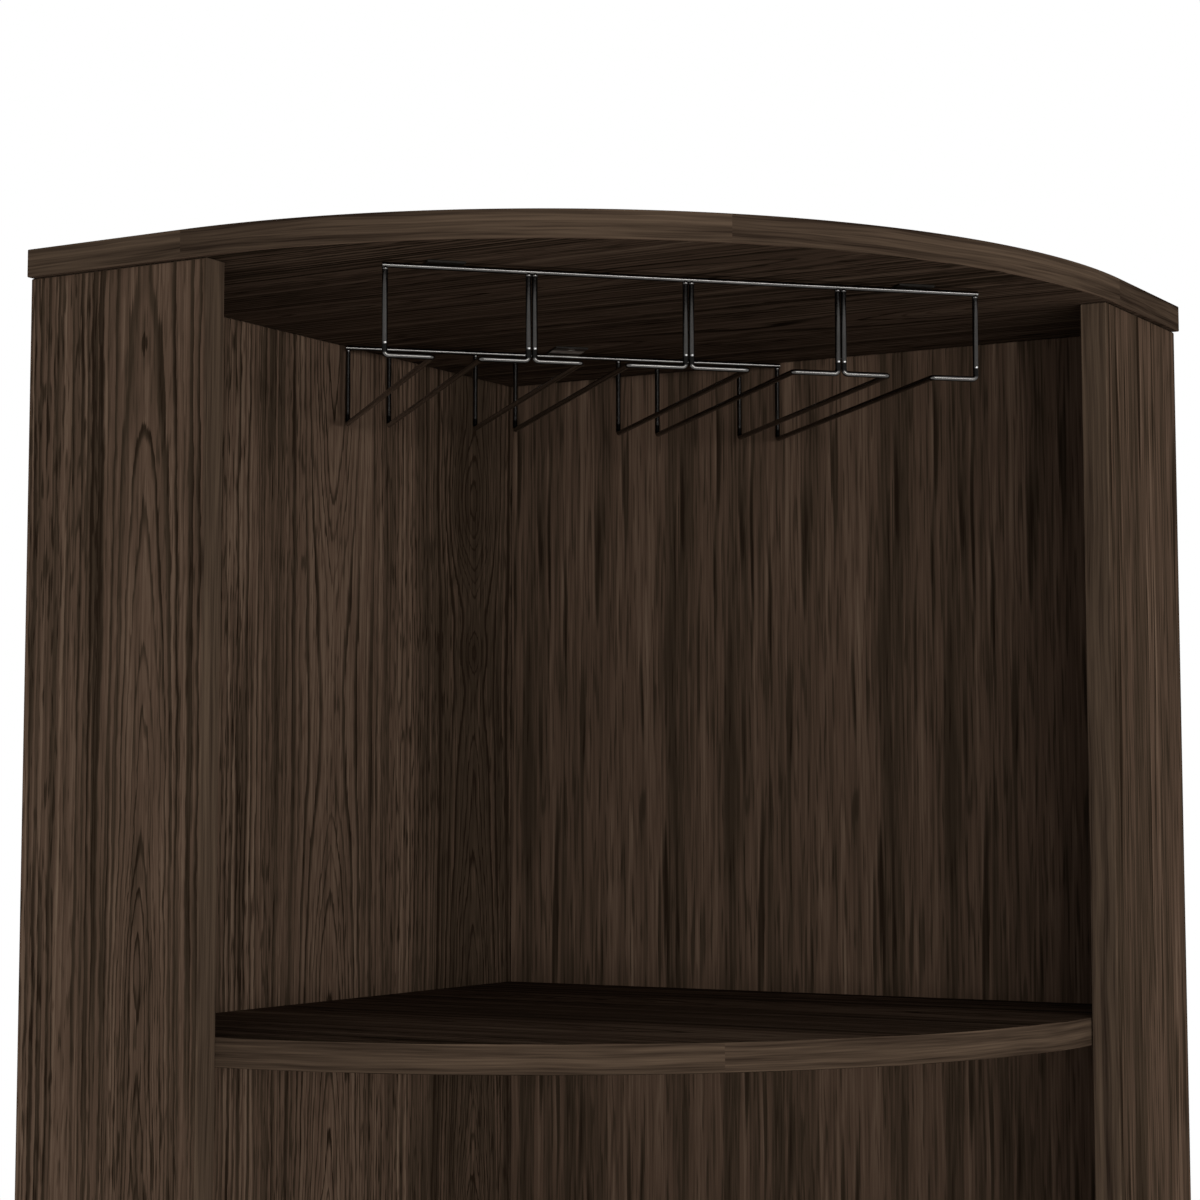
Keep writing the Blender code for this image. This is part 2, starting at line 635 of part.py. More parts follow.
CABINET = collection("corner_bar_cabinet")
CUTTERS = collection("cutters")
WALNUT = finish("walnut_laminate", (0.055, 0.037, 0.027), 0.45, 0)
DARK_METAL = finish("dark_metal", (0.045, 0.042, 0.040), 0.3, 0.9)
STEEL = finish("zinc_steel", (0.42, 0.41, 0.39), 0.35, 1)
GREY_PLASTIC = finish("grey_plastic", (0.12, 0.12, 0.12), 0.5, 0)

case_panels = build_case()
build_glides()
build_glass_rack()
build_bottle_rack()
build_cupboard_shelf(case_panels)
for door_side in SIDES:
    build_door(door_side)
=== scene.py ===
"""Looks of a tall corner bar cabinet in dark walnut laminate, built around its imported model.

Metres, +Z up. The front faces -Y and the back corner points to +Y. As in the case itself, each side has
two plan measures, both from the top board's back edges: "across" runs along that side's wall from the
back corner, and "out" is the distance in front of that wall.
"""
from math import cos, pi, radians, sin, sqrt

import bmesh
import bpy
from mathutils import Matrix, Vector


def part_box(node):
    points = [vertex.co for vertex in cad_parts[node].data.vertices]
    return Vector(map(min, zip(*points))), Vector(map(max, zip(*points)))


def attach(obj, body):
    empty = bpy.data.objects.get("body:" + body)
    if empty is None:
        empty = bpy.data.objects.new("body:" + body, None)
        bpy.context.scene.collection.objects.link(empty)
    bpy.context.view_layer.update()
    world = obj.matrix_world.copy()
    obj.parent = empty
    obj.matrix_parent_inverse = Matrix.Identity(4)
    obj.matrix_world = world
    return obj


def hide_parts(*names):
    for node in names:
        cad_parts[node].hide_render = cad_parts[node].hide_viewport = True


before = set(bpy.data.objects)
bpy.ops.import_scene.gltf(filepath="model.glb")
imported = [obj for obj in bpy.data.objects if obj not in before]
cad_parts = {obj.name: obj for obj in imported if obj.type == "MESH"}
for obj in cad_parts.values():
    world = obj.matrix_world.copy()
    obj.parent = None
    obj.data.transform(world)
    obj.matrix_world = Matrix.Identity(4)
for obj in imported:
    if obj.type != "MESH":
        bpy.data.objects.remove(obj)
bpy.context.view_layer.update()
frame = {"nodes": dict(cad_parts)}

# Case and its boards
WALL_RUN = 0.470              # top board along each wall
SIDE_EDGE = 0.102             # straight side edge of the top board
BOARD = 0.015
BACK_BOARD = 0.018
OVERHANG = 0.003              # top board past the side panels
SEAT = 0.0003                 # gap between pieces that touch
ARRIS = 0.0006                # rounded edges of the boards
ARRIS_STEPS = 3
ARC_STEPS = 96                # straight steps in a quarter round
BOTTLE_PITCH = 0.118
BOTTLE_SETBACK = 0.015
DIVIDER_GAP = 0.001

# Rack wire and its welds
HANGERS = 8
WIRE = 0.003
WIRE_BEND = 0.0022
WIRE_SIDES = 20
BEND_STEPS = 8
BEAD_RADIUS = 0.00165         # weld beads where hangers meet rails
BEAD_SIDES = 14
NUB_RADIUS = 0.0009
NUB_RISE = 0.0064             # pale nubs on the front legs as painted highlights, above the middle of the hanger's run

# Screws, in the plates, hinges, catches and handles
HOLE_FROM_END = 0.0038        # from the longer end of a plate
FRAME_SCREW = 0.0126          # of a frame leaf, behind the hinge pin
DOOR_SCREW = 0.0090           # of a door leaf, behind the hinge pin
CATCH_SCREW = 0.009           # from a catch's ends
SCREW_SPREAD = 0.015          # of a leaf, above and below its middle
KNUCKLE_RADIUS = 0.0025
LEAF = 0.001
SCREW_HEAD = 0.0026           # radii of the heads
HANDLE_HEAD = 0.0042
SCREW_SIDES = 24
SCREW_RINGS = 12
HEAD_RISE_SHARE = 0.24        # height, recess width and recess length, as shares of a head's radius
RECESS_SHARE = 0.24
RECESS_LENGTH_SHARE = 1.1

# Catches, handles, glides and shelf pins
CATCH_MOUTH = (0.030, 0.0015, 0.004)   # width, depth and height
POLE_PROUD_SHARE = 0.7        # of the mouth's depth, for the pole plates and for the magnet between them
MAGNET_PROUD_SHARE = 0.4
HANDLE_BAR = 0.009
HANDLE_BEND = 0.012
HANDLE_SIDES = 32
GLIDES = 5
SHELF_PINS = 4

FLAT_WEIGHT = 100             # how much flat faces count beside rounded edges in the shading
SHARP = radians(40)           # edges sharper than this keep their line
ROD_SHARP = radians(50)

ROOT2 = sqrt(2)
SIDES = {"left": -1, "right": 1}
ROWS = ("lower", "upper")
TABS = ("rear", "front_left", "front_right")
inner_run = WALL_RUN - OVERHANG - BOARD
top_arc = WALL_RUN - SIDE_EDGE
shelf_arc = inner_run - SEAT - SIDE_EDGE
corner_y = (SIDE_EDGE * ROOT2 + top_arc) / 2

# Directions of the world, then along each wall and out from it
CROSSWISE = Vector((1, 0, 0))
DEPTHWISE = Vector((0, 1, 0))
UP = Vector((0, 0, 1))
ACROSS = {side: Vector((sign, -1, 0)) / ROOT2 for side, sign in SIDES.items()}
OUT = {side: Vector((-sign, -1, 0)) / ROOT2 for side, sign in SIDES.items()}


def plan(side, across, out):
    """World x and y of a plan point."""
    return Vector((0, corner_y, 0)) + ACROSS[side] * across + OUT[side] * out


def srgb(*levels):
    """Linear colour from the 0 to 255 levels of a display."""
    return tuple(((level / 255 + 0.055) / 1.055) ** 2.4 if level > 10 else level / 3294.6
                 for level in levels)


def add(tree, kind, inputs=None, **settings):
    """Add a node, set its settings, and fill its inputs with values or with other nodes' outputs."""
    node = tree.nodes.new(kind)
    for key, value in settings.items():
        setattr(node, key, value)
    for key, value in (inputs or {}).items():
        if isinstance(value, bpy.types.NodeSocket):
            tree.links.new(value, node.inputs[key])
        else:
            node.inputs[key].default_value = value
    return node


def calc(tree, operation, *values):
    return add(tree, "ShaderNodeMath", dict(enumerate(values)), operation=operation).outputs[0]


def dot(tree, vector, direction):
    inputs = {0: vector, 1: tuple(direction)}
    return add(tree, "ShaderNodeVectorMath", inputs, operation="DOT_PRODUCT").outputs["Value"]


def join(tree, *parts):
    return add(tree, "ShaderNodeCombineXYZ", dict(enumerate(parts))).outputs[0]


def ease(tree, value, low, high, start=0.0, end=1.0):
    """Smooth step of a value from one range to another."""
    inputs = {"Value": value, "From Min": low, "From Max": high, "To Min": start, "To Max": end}
    return add(tree, "ShaderNodeMapRange", inputs, interpolation_type="SMOOTHSTEP").outputs[0]


def noise(tree, vector, detail=2.0, roughness=0.5):
    inputs = {"Vector": vector, "Scale": 1.0, "Detail": detail, "Roughness": roughness}
    return add(tree, "ShaderNodeTexNoise", inputs, noise_dimensions="3D").outputs[0]


def ramp(tree, factor, stops):
    node = add(tree, "ShaderNodeValToRGB", {"Fac": factor})
    while len(node.color_ramp.elements) < len(stops):
        node.color_ramp.elements.new(0.5)
    for element, (position, colour) in zip(node.color_ramp.elements, stops):
        element.position = position
        element.color = (*colour, 1)
    return node.outputs[0]


def blend(tree, factor, first, second, kind="RGBA"):
    """Mix of two colours, or of two numbers with the kind FLOAT."""
    mix = add(tree, "ShaderNodeMix", data_type=kind)
    pair = {"RGBA": (6, 7, 2), "FLOAT": (2, 3, 0)}[kind]
    for index, value in ((0, factor), (pair[0], first), (pair[1], second)):
        if isinstance(value, bpy.types.NodeSocket):
            tree.links.new(value, mix.inputs[index])
        else:
            mix.inputs[index].default_value = value
    return mix.outputs[pair[2]]


def new_material(name, **sockets):
    """Material whose shader has the given uniform values. Returns it with its tree and its shader."""
    material = bpy.data.materials.new(name)
    material.use_nodes = True
    shader = material.node_tree.nodes["Principled BSDF"]
    for key, value in sockets.items():
        shader.inputs[key.replace("_", " ")].default_value = value
    return material, material.node_tree, shader


def emboss(tree, shader, height, strength, distance):
    bump = add(tree, "ShaderNodeBump", {"Height": height, "Strength": strength, "Distance": distance})
    tree.links.new(bump.outputs[0], shader.inputs["Normal"])


def position(tree):
    return add(tree, "ShaderNodeTexCoord").outputs["Object"]


def normal(tree):
    return add(tree, "ShaderNodeTexCoord").outputs["Normal"]


def scaled(tree, steps):
    """The place on a piece, in steps per metre along each axis."""
    inputs = {0: position(tree), 1: steps}
    return add(tree, "ShaderNodeVectorMath", inputs, operation="MULTIPLY").outputs[0]


# Walnut print, from its darkest lines to its pale streaks, and the paler edging
PRINT_DARK = srgb(40, 30, 22)
PRINT_OLIVE = srgb(64, 52, 41)
PRINT_RED = srgb(92, 73, 60)
PRINT_PALE = srgb(122, 102, 85)
BAND_DARK = srgb(44, 34, 27)
BAND_PALE = srgb(92, 76, 62)
FACE_STOPS = [(0.0, PRINT_DARK), (0.36, PRINT_OLIVE), (0.62, PRINT_RED), (0.95, PRINT_PALE)]
BAND_STOPS = [(0.15, BAND_DARK), (0.85, BAND_PALE)]
GLOSS_TONES = (0.2, 0.9)
FACE_GLOSS = (0.60, 0.50)     # roughness at those tones
LAMINATE_SHINE = 0.0
LAMINATE_RELIEF = (0.25, 0.0002)   # strength and height, as for the other reliefs
LEVEL_SHADE_DIM = 0.70              # painted shade: level faces are darker
SHEET_STEP = 17.3             # moves the noise on, so that each sheet has its own figure
ROLL = 0.149                  # the soft print repeats after this width

# Year rings of the flamed print
RING = 0.0046                 # mean width
RINGS_BEFORE = 20.0           # keeps their count above 0
UNEVEN_STEPS = 0.45           # steps per ring of the noise that makes rings wide and narrow
UNEVEN_REACH = 2.0            # and how many rings it moves
LATE_STARTS = (0.35, 0.65)    # shares of a ring where its dark part starts, beside and over a flame
LATE_FULL = 0.88              # where it is darkest
LATE_END = (1.0, 0.92)        # where it has ended, and where its end begins
FAINTEST = 0.3                # strength of the faintest rings
HEART_BOOST = 0.10            # rings are stronger over a flame
HEART_ROUND = 0.004           # rounds the rings off at a flame's middle
CROWN_ROUND = 0.03            # and at its crowns
CROWN_REACH = 0.18            # from a crown to where its rings lie as they would without a flame
SHADE_SPREAD = 0.25           # a flame darkens more width than it bends
JOG_REACH = 0.010             # how far the layers of these names push the rings
FIBRE_REACH = 0.0022

# Layers of the prints. Each is noise with fine steps per metre across the grain and long ones along it,
# and shift gives it its own pattern. A layer with limits goes from 0 to 1 between them, or between the
# two numbers that follow them, and the others lie about 0. Each print's tone starts from its TONE, and
# its parts are added with their WEIGHTS.
SWAYS = ((dict(shift=0, fine=9.0, long=2.0), 0.014), (dict(shift=3, fine=60.0, long=14.0), 0.0034),
         (dict(shift=5, fine=260.0, long=60.0), 0.0018))   # with how far each moves the grain
FIBRE = dict(shift=0, fine=800.0, long=16.0, detail=3.0, roughness=0.6)
JOG = dict(shift=9, fine=14.0, long=9.0, detail=1.0)
FAINT = dict(shift=1, fine=45.0, long=5.0, limits=(0.25, 0.70, 0.25, 1.2))
COMB = dict(shift=8, fine=330.0, long=3.0, detail=1.0, limits=(0.52, 0.36))
COMBED = dict(shift=11, fine=16.0, long=1.5, limits=(0.34, 0.60))
PORES = dict(shift=2, fine=640.0, long=50.0, detail=1.0, roughness=0.4, limits=(0.46, 0.30))
SPECKLED = dict(shift=4, fine=22.0, long=3.0, limits=(0.40, 0.65, 0.3, 1.3))
BROAD = dict(shift=6, fine=26.0, long=1.1, detail=3.0, roughness=0.55)
BANDS = dict(shift=12, fine=70.0, long=0.5, roughness=0.6)
FINE = dict(shift=7, fine=300.0, long=4.0, roughness=0.6)
FLAMED_TONE = 0.70
FLAMED_WEIGHTS = dict(late=-0.62, comb=-0.34, broad=0.36, bands=0.80, fine=0.52, fibre=0.80, pores=-0.36)

SOFT_SWAY = dict(shift=1, fine=40.0, long=7.0)
SOFT_BROAD = dict(shift=0, fine=52.0, long=1.3, roughness=0.6)
SOFT_STREAK = dict(shift=5, fine=150.0, long=3.4, detail=3.0, roughness=0.6)
SOFT_FIBRE = dict(shift=9, fine=640.0, long=14.0, roughness=0.6)
SOFT_PORES = dict(shift=12, fine=620.0, long=26.0, detail=1.0, roughness=0.4, limits=(0.45, 0.30))
SLITS = dict(shift=3, fine=170.0, long=6.5, detail=1.0, roughness=0.4, limits=(0.61, 0.75))
SOFT_REACH = 0.005
SLIT_LIGHT = 0.0022           # from a slit to the pale line beside it
SOFT_TONE = 0.50
SOFT_WEIGHTS = dict(broad=1.05, streak=0.60, fibre=0.74, slits=-0.40, lights=0.14, pores=-0.22)

EDGING_SWAY = dict(shift=0, fine=30.0, long=9.0)
EDGING_LINES = dict(shift=0, fine=330.0, long=5.0, detail=3.0, roughness=0.6)
EDGING_BROAD = dict(shift=5, fine=60.0, long=7.0)
EDGING_FIBRE = dict(shift=0, fine=1200.0, long=26.0)
EDGING_REACH = 0.006
EDGING_TONE = 0.52
EDGING_WEIGHTS = dict(lines=1.5, broad=0.3, fibre=0.7)


def layer(tree, place, detail, roughness, limits):
    """Noise about 0, or from 0 to 1 between its limits."""
    made = noise(tree, place, detail, roughness)
    return ease(tree, made, *limits) if limits else calc(tree, "SUBTRACT", made, 0.5)


def streaks(tree, across, along, salt, shift, fine, long, detail=2.0, roughness=0.5, limits=None):
    """Layer drawn out along the grain."""
    place = join(tree, calc(tree, "MULTIPLY", across, fine), calc(tree, "MULTIPLY", along, long),
                 salt + shift)
    return layer(tree, place, detail, roughness, limits)


def rolled(tree, across, along, salt, shift, fine, long, detail=2.0, roughness=0.5, limits=None):
    """The same, but it repeats after each ROLL across."""
    turn = calc(tree, "MULTIPLY", across, 2 * pi / ROLL)
    radius = fine * ROLL / (2 * pi)
    place = join(tree, calc(tree, "MULTIPLY", calc(tree, "COSINE", turn), radius),
                 calc(tree, "MULTIPLY", calc(tree, "SINE", turn), radius),
                 calc(tree, "MULTIPLY_ADD", along, long, salt + shift))
    return layer(tree, place, detail, roughness, limits)


def toned(tree, tone, weights, parts, contrast=1.0):
    """Add the weighted parts of a print to its tone."""
    for part, weight in weights.items():
        tone = calc(tree, "MULTIPLY_ADD", parts[part], weight * contrast, tone)
    return tone


def hill(tree, across, along, place, level, width, height):
    """1 at a place on the sheet, falling off to 0 around it."""
    beside = calc(tree, "DIVIDE", calc(tree, "SUBTRACT", across, place), width)
    above = calc(tree, "DIVIDE", calc(tree, "SUBTRACT", along, level), height)
    square = calc(tree, "MULTIPLY_ADD", above, above, calc(tree, "MULTIPLY", beside, beside))
    return calc(tree, "EXPONENT", calc(tree, "MULTIPLY", square, -1.0))


def flamed(flames, knots=(), contrast=1.0):
    """Plain-sawn walnut. A flame is (place, crown, pitch, climb, width, dark): its crowns lie at the
    height crown and at every pitch from it, and over its place the rings shift by climb for each metre
    nearer to one, so that they run to points. A knot is (place, level, width, height, pull, dark) and
    pulls the rings round itself. Dark is how much each darkens, and contrast scales the tone's parts."""
    def figure(tree, straight, along, salt):
        # The grain wanders and shakes a little to both sides
        across = straight
        for sway, reach in SWAYS:
            across = calc(tree, "MULTIPLY_ADD", streaks(tree, straight, along, salt, **sway), reach, across)
        fibre = streaks(tree, straight, along, salt, **FIBRE)
        jog = streaks(tree, straight, along, salt, **JOG)

        # Rings follow the sides of the nearest flame, and climb over it in nested points
        nearest, bend, heart, shade = 1.0, 0.0, 0.0, 0.0
        for place, crown, pitch, climb, width, dark in flames:
            off = calc(tree, "SUBTRACT", across, place)
            square = calc(tree, "MULTIPLY", off, off)
            nearest = calc(tree, "MINIMUM", square, nearest)
            fade = calc(tree, "EXPONENT", calc(tree, "MULTIPLY", square, -1 / width ** 2))
            away = calc(tree, "PINGPONG", calc(tree, "SUBTRACT", along, crown), pitch / 2)
            away = calc(tree, "SQRT", calc(tree, "MULTIPLY_ADD", away, away, CROWN_ROUND ** 2))
            rise = calc(tree, "MULTIPLY_ADD", calc(tree, "SUBTRACT", CROWN_REACH, away), climb,
                        calc(tree, "MULTIPLY", jog, JOG_REACH))
            bend = calc(tree, "MULTIPLY_ADD", rise, fade, bend)
            heart = calc(tree, "MAXIMUM", fade, heart)
            shade = calc(tree, "MULTIPLY_ADD", calc(tree, "POWER", fade, SHADE_SPREAD), dark, shade)
        for place, level, width, height, pull, dark in knots:
            swell = hill(tree, across, along, place, level, width, height)
            bend = calc(tree, "MULTIPLY_ADD", swell, -pull, bend)
            shade = calc(tree, "MULTIPLY_ADD", swell, dark, shade)
        ring = calc(tree, "ADD", calc(tree, "SQRT", calc(tree, "ADD", nearest, HEART_ROUND ** 2)), bend)
        ring = calc(tree, "MULTIPLY_ADD", fibre, FIBRE_REACH, ring)

        # Each ring darkens slowly and ends in a sharp line. Some rings are strong and some faint.
        count = calc(tree, "ADD", calc(tree, "DIVIDE", ring, RING), salt + RINGS_BEFORE)
        uneven = noise(tree, join(tree, calc(tree, "MULTIPLY", count, UNEVEN_STEPS), 0.0, 0.5), 1.0)
        count = calc(tree, "MULTIPLY_ADD", uneven, UNEVEN_REACH, count)
        phase = calc(tree, "FRACT", count)
        start = calc(tree, "MULTIPLY_ADD", heart, LATE_STARTS[1] - LATE_STARTS[0], LATE_STARTS[0])
        late = calc(tree, "MULTIPLY", ease(tree, phase, start, LATE_FULL), ease(tree, phase, *LATE_END))
        force = add(tree, "ShaderNodeTexWhiteNoise", {"W": calc(tree, "FLOOR", count)},
                    noise_dimensions="1D").outputs[0]
        faint = streaks(tree, across, along, salt, **FAINT)
        late = calc(tree, "MULTIPLY", late, calc(
            tree, "MULTIPLY", faint, calc(tree, "MULTIPLY_ADD", force, 1 - FAINTEST, FAINTEST)))
        late = calc(tree, "MULTIPLY", late, calc(tree, "MULTIPLY_ADD", heart, HEART_BOOST, 1.0))

        # Combed lines between the flames, short pores in patches, and streaks, some along the rings
        comb = streaks(tree, ring, along, salt, **COMB)
        combed = streaks(tree, across, along, salt, **COMBED)
        comb = calc(tree, "MULTIPLY", comb, calc(tree, "MULTIPLY", combed,
                                                 calc(tree, "SUBTRACT", 1.0, heart)))
        pores = calc(tree, "MULTIPLY", streaks(tree, straight, along, salt, **PORES),
                     streaks(tree, across, along, salt, **SPECKLED))
        parts = dict(late=late, comb=comb, broad=streaks(tree, across, along, salt, **BROAD),
                     bands=streaks(tree, ring, along, salt, **BANDS),
                     fine=streaks(tree, across, along, salt, **FINE), fibre=fibre, pores=pores)
        tone = calc(tree, "SUBTRACT", FLAMED_TONE, shade)
        return toned(tree, tone, FLAMED_WEIGHTS, parts, contrast), pores
    return figure


def soft(tree, straight, along, salt):
    """Quieter print of olive and reddish streaks with thin dark slits."""
    sway = rolled(tree, straight, along, salt, **SOFT_SWAY)
    across = calc(tree, "MULTIPLY_ADD", sway, SOFT_REACH, straight)
    slits = rolled(tree, across, along, salt, **SLITS)
    lights = rolled(tree, calc(tree, "ADD", across, SLIT_LIGHT), along, salt, **SLITS)
    lights = calc(tree, "MULTIPLY", lights, calc(tree, "SUBTRACT", 1.0, slits))
    parts = dict(broad=rolled(tree, across, along, salt, **SOFT_BROAD),
                 streak=rolled(tree, across, along, salt, **SOFT_STREAK),
                 fibre=rolled(tree, straight, along, salt, **SOFT_FIBRE),
                 pores=rolled(tree, straight, along, salt, **SOFT_PORES), slits=slits, lights=lights)
    return toned(tree, SOFT_TONE, SOFT_WEIGHTS, parts), slits


def edging(tree, straight, along, salt):
    """Straight lines along an edge band."""
    sway = streaks(tree, straight, along, salt, **EDGING_SWAY)
    across = calc(tree, "MULTIPLY_ADD", sway, EDGING_REACH, straight)
    parts = dict(lines=streaks(tree, across, along, salt, **EDGING_LINES),
                 broad=streaks(tree, across, along, salt, **EDGING_BROAD),
                 fibre=streaks(tree, across, along, salt, **EDGING_FIBRE))
    return toned(tree, EDGING_TONE, EDGING_WEIGHTS, parts)


def walnut(name, sheet, place, figure=soft, band_place=None, band=None, dim=1.0):
    """Walnut laminate. place and band_place give the sockets of the place across and along the grain on
    the faces and on the edging, band a socket that is 1 on the edging, and dim darkens the faces, as
    painted shade."""
    material, tree, shader = new_material(name, Specular_IOR_Level=LAMINATE_SHINE)
    salt = sheet * SHEET_STEP
    tone, marks = figure(tree, *place(tree), salt)
    # dim darkens the print's colours, as painted shade
    colour = ramp(tree, tone, [(stop, tuple(part * dim for part in shade)) for stop, shade in FACE_STOPS])
    relief = calc(tree, "SUBTRACT", tone, marks)
    if band:
        share = band(tree)
        band_tone = edging(tree, *band_place(tree), salt)
        colour = blend(tree, share, colour, ramp(tree, band_tone, BAND_STOPS))
        tone = blend(tree, share, tone, band_tone, "FLOAT")
        relief = blend(tree, share, relief, band_tone, "FLOAT")
    tree.links.new(colour, shader.inputs["Base Color"])
    tree.links.new(ease(tree, tone, *GLOSS_TONES, *FACE_GLOSS), shader.inputs["Roughness"])
    emboss(tree, shader, relief, *LAMINATE_RELIEF)
    return material


def measured(across, along, start=0.0):
    """Place on a flat sheet, from the directions across and along its grain."""
    return lambda tree: (calc(tree, "SUBTRACT", dot(tree, position(tree), across), start),
                         dot(tree, position(tree), along))


def facing(*directions):
    """1 where a face looks along one of the directions, either way."""
    def share(tree):
        towards = normal(tree)
        looks = [calc(tree, "ABSOLUTE", dot(tree, towards, direction)) for direction in directions]
        nearest = looks[0]
        for look in looks[1:]:
            nearest = calc(tree, "MAXIMUM", nearest, look)
        return calc(tree, "GREATER_THAN", nearest, 0.5)
    return share


def mapped(tree):
    """Place across and along the grain from the piece's own map, which holds metres."""
    return add(tree, "ShaderNodeSeparateXYZ",
               {0: add(tree, "ShaderNodeUVMap", uv_map="grain").outputs[0]}).outputs[:2]


def jointed(start, length):
    """The mapped place on an edge band that is joined from equal lengths, each with the same print."""
    def place(tree):
        across, along = mapped(tree)
        along = calc(tree, "FLOORED_MODULO", calc(tree, "SUBTRACT", along, start), length)
        return across, along
    return place


def upright_edge(tree):
    """1 on the edges of a level board or plate."""
    return calc(tree, "LESS_THAN", calc(tree, "ABSOLUTE", dot(tree, normal(tree), UP)), 0.5)


# Steel and plastic
NOISE_LIMITS = (0.3, 0.7)     # where the noise of clouds and grain ends
BLACK = (0, 0, 0, 1)
LEG_SHADE = 0.50              # painted shade: how much the hangers' front legs are darkened
BEND_SHADE = 0.90             # and, as painted shade, all legs just above their lower bends
BEND_FADE = 0.001
LEG_FOOT = (0.0006, 0.0016)   # above the hanger's run, where its legs' shade sets in
RAIL_FADE = 0.0004            # above the rail, where it ends
PLATE_SHADE = 0.91            # painted shade on the rack's plates, apart from a strip of painted highlight
PLATE_EDGE_SHADE = 0.98       # painted shade on their upright edges
LIT_STRIP_SHARES = (0.32, 0.40, 0.72, 0.78)   # of the rear plate's depth, where the strip fades


def hanger_painted_shade(tree):
    """Painted shade: the front legs are darker, and all legs are dark just above their lower bends."""
    spot = position(tree)
    level = dot(tree, spot, UP)
    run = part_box("glass_wire_1")[0].z + WIRE / 2
    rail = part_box("rack_front_rail")[0].z
    foot = ease(tree, level, *(run + rise for rise in LEG_FOOT))
    upright = calc(tree, "MULTIPLY", foot, ease(tree, level, rail + RAIL_FADE, rail))
    bend = ease(tree, level, run + NUB_RISE, run + NUB_RISE - BEND_FADE, 0.0, BEND_SHADE)
    in_front = calc(tree, "LESS_THAN", dot(tree, spot, DEPTHWISE), 0.0)
    front_leg_shade = calc(tree, "MULTIPLY", in_front, LEG_SHADE)
    return calc(tree, "MULTIPLY", upright, calc(tree, "MAXIMUM", bend, front_leg_shade))


def plate_painted_light(tree):
    """Painted shade on the plates' upright edges and faces, and a pale strip in front of the rear rail as a
    painted highlight.
    """
    depth = dot(tree, position(tree), DEPTHWISE)
    front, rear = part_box("rack_tab_rear")
    strip = [front.y + (rear.y - front.y) * share for share in LIT_STRIP_SHARES]
    lit_strip = calc(tree, "MULTIPLY", ease(tree, depth, *strip[:2]), ease(tree, depth, strip[3], strip[2]))
    return calc(tree, "MAXIMUM", calc(tree, "MULTIPLY", upright_edge(tree), PLATE_EDGE_SHADE),
                calc(tree, "MULTIPLY_ADD", lit_strip, -PLATE_SHADE, PLATE_SHADE))


def grained(name, colours, gloss, clouds, grain, relief, shade=None, detail=3.0, **sockets):
    """Steel or plastic with faint clouds of two colours and a fine grain, both in steps per metre. shade
    gives a socket that darkens parts of it."""
    material, tree, shader = new_material(name, **sockets)
    colour = ramp(tree, noise(tree, scaled(tree, clouds), detail), list(zip(NOISE_LIMITS, colours)))
    fine = noise(tree, scaled(tree, grain))
    if shade:
        colour = blend(tree, shade(tree), colour, BLACK)
    tree.links.new(colour, shader.inputs["Base Color"])
    tree.links.new(ease(tree, fine, *NOISE_LIMITS, *gloss), shader.inputs["Roughness"])
    emboss(tree, shader, fine, *relief)
    return material


PLATED = dict(clouds=(60, 60, 60), grain=(1500, 1500, 1500), relief=(0.1, 0.00005), Metallic=1.0)
DARK_COLOURS = (0.080, 0.076, 0.072), (0.112, 0.107, 0.102)
DARK_GLOSS = (0.14, 0.20)
DARK_METAL = grained("dark_plating", DARK_COLOURS, DARK_GLOSS, **PLATED)
# the hangers' plating carries painted shade on their legs
WIRE_METAL = grained("wire_plating", DARK_COLOURS, DARK_GLOSS, shade=hanger_painted_shade, **PLATED)
# pale steel, darkened by painted shade apart from a strip of painted highlight
PLATE_METAL = grained("plate_steel", (srgb(190, 181, 170), srgb(204, 195, 184)), (0.42, 0.46),
                      shade=plate_painted_light, **PLATED)
# pale steel of the nubs, a painted highlight
NUB_HIGHLIGHT_METAL = grained("nub_highlight_steel", ((0.50, 0.49, 0.48), (0.62, 0.61, 0.60)), (0.30, 0.38), **PLATED)
ZINC = grained("zinc_plating", (srgb(150, 148, 142), srgb(182, 180, 174)), (0.28, 0.44),
               clouds=(140, 140, 140), grain=(2600, 2600, 120), relief=(0.15, 0.00005), Metallic=1.0)
GREY_PLASTIC = grained("grey_plastic", (srgb(58, 57, 56), srgb(70, 69, 67)), (0.45, 0.60),
                       clouds=(90, 90, 90), grain=(2200, 2200, 2200), relief=(0.2, 0.00008), detail=2.0,
                       Specular_IOR_Level=0.4)


def piece_from(name, mesh, material, body, slot, *nodes):
    """Put a finished mesh in the scene as a piece that rides on a body and stands for nodes."""
    piece = bpy.data.objects.new(name, mesh)
    bpy.context.scene.collection.objects.link(piece)
    mesh.materials.clear()
    mesh.materials.append(material)
    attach(piece, body)
    if nodes:
        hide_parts(*nodes)
    return piece


def mesh_from(bm, name):
    mesh = bpy.data.meshes.new(name)
    bm.to_mesh(mesh)
    bm.free()
    return mesh


def quarter_outline(back, radius):
    """Square at the back corner, straight at both ends, and a quarter round in front."""
    arc = [(SIDE_EDGE + radius * cos(angle), SIDE_EDGE + radius * sin(angle))
           for angle in (pi / 2 * step / ARC_STEPS for step in range(ARC_STEPS + 1))]
    run = SIDE_EDGE + radius
    return [plan("left", across, out) for across, out in [(back, back), (run, back), *arc, (back, run)]]


def notched(outline, radius, notches):
    """The outline with slots cut into its quarter round, from (x, half width, y of the slot's end)."""
    points = []
    for before, after in zip(outline, outline[1:] + outline[:1]):
        hidden = any(abs(before.x - x) < half and before.y < end for x, half, end in notches)
        if not hidden:
            points.append(before)
        for x, half, end in notches:
            if before.x < x - half <= after.x and before.y < end:
                for corner_x, corner_end in ((x - half, False), (x - half, True),
                                             (x + half, True), (x + half, False)):
                    front = corner_y - SIDE_EDGE * ROOT2 - sqrt(radius ** 2 - corner_x ** 2)
                    points.append(Vector((corner_x, end if corner_end else front, 0)))
    return points


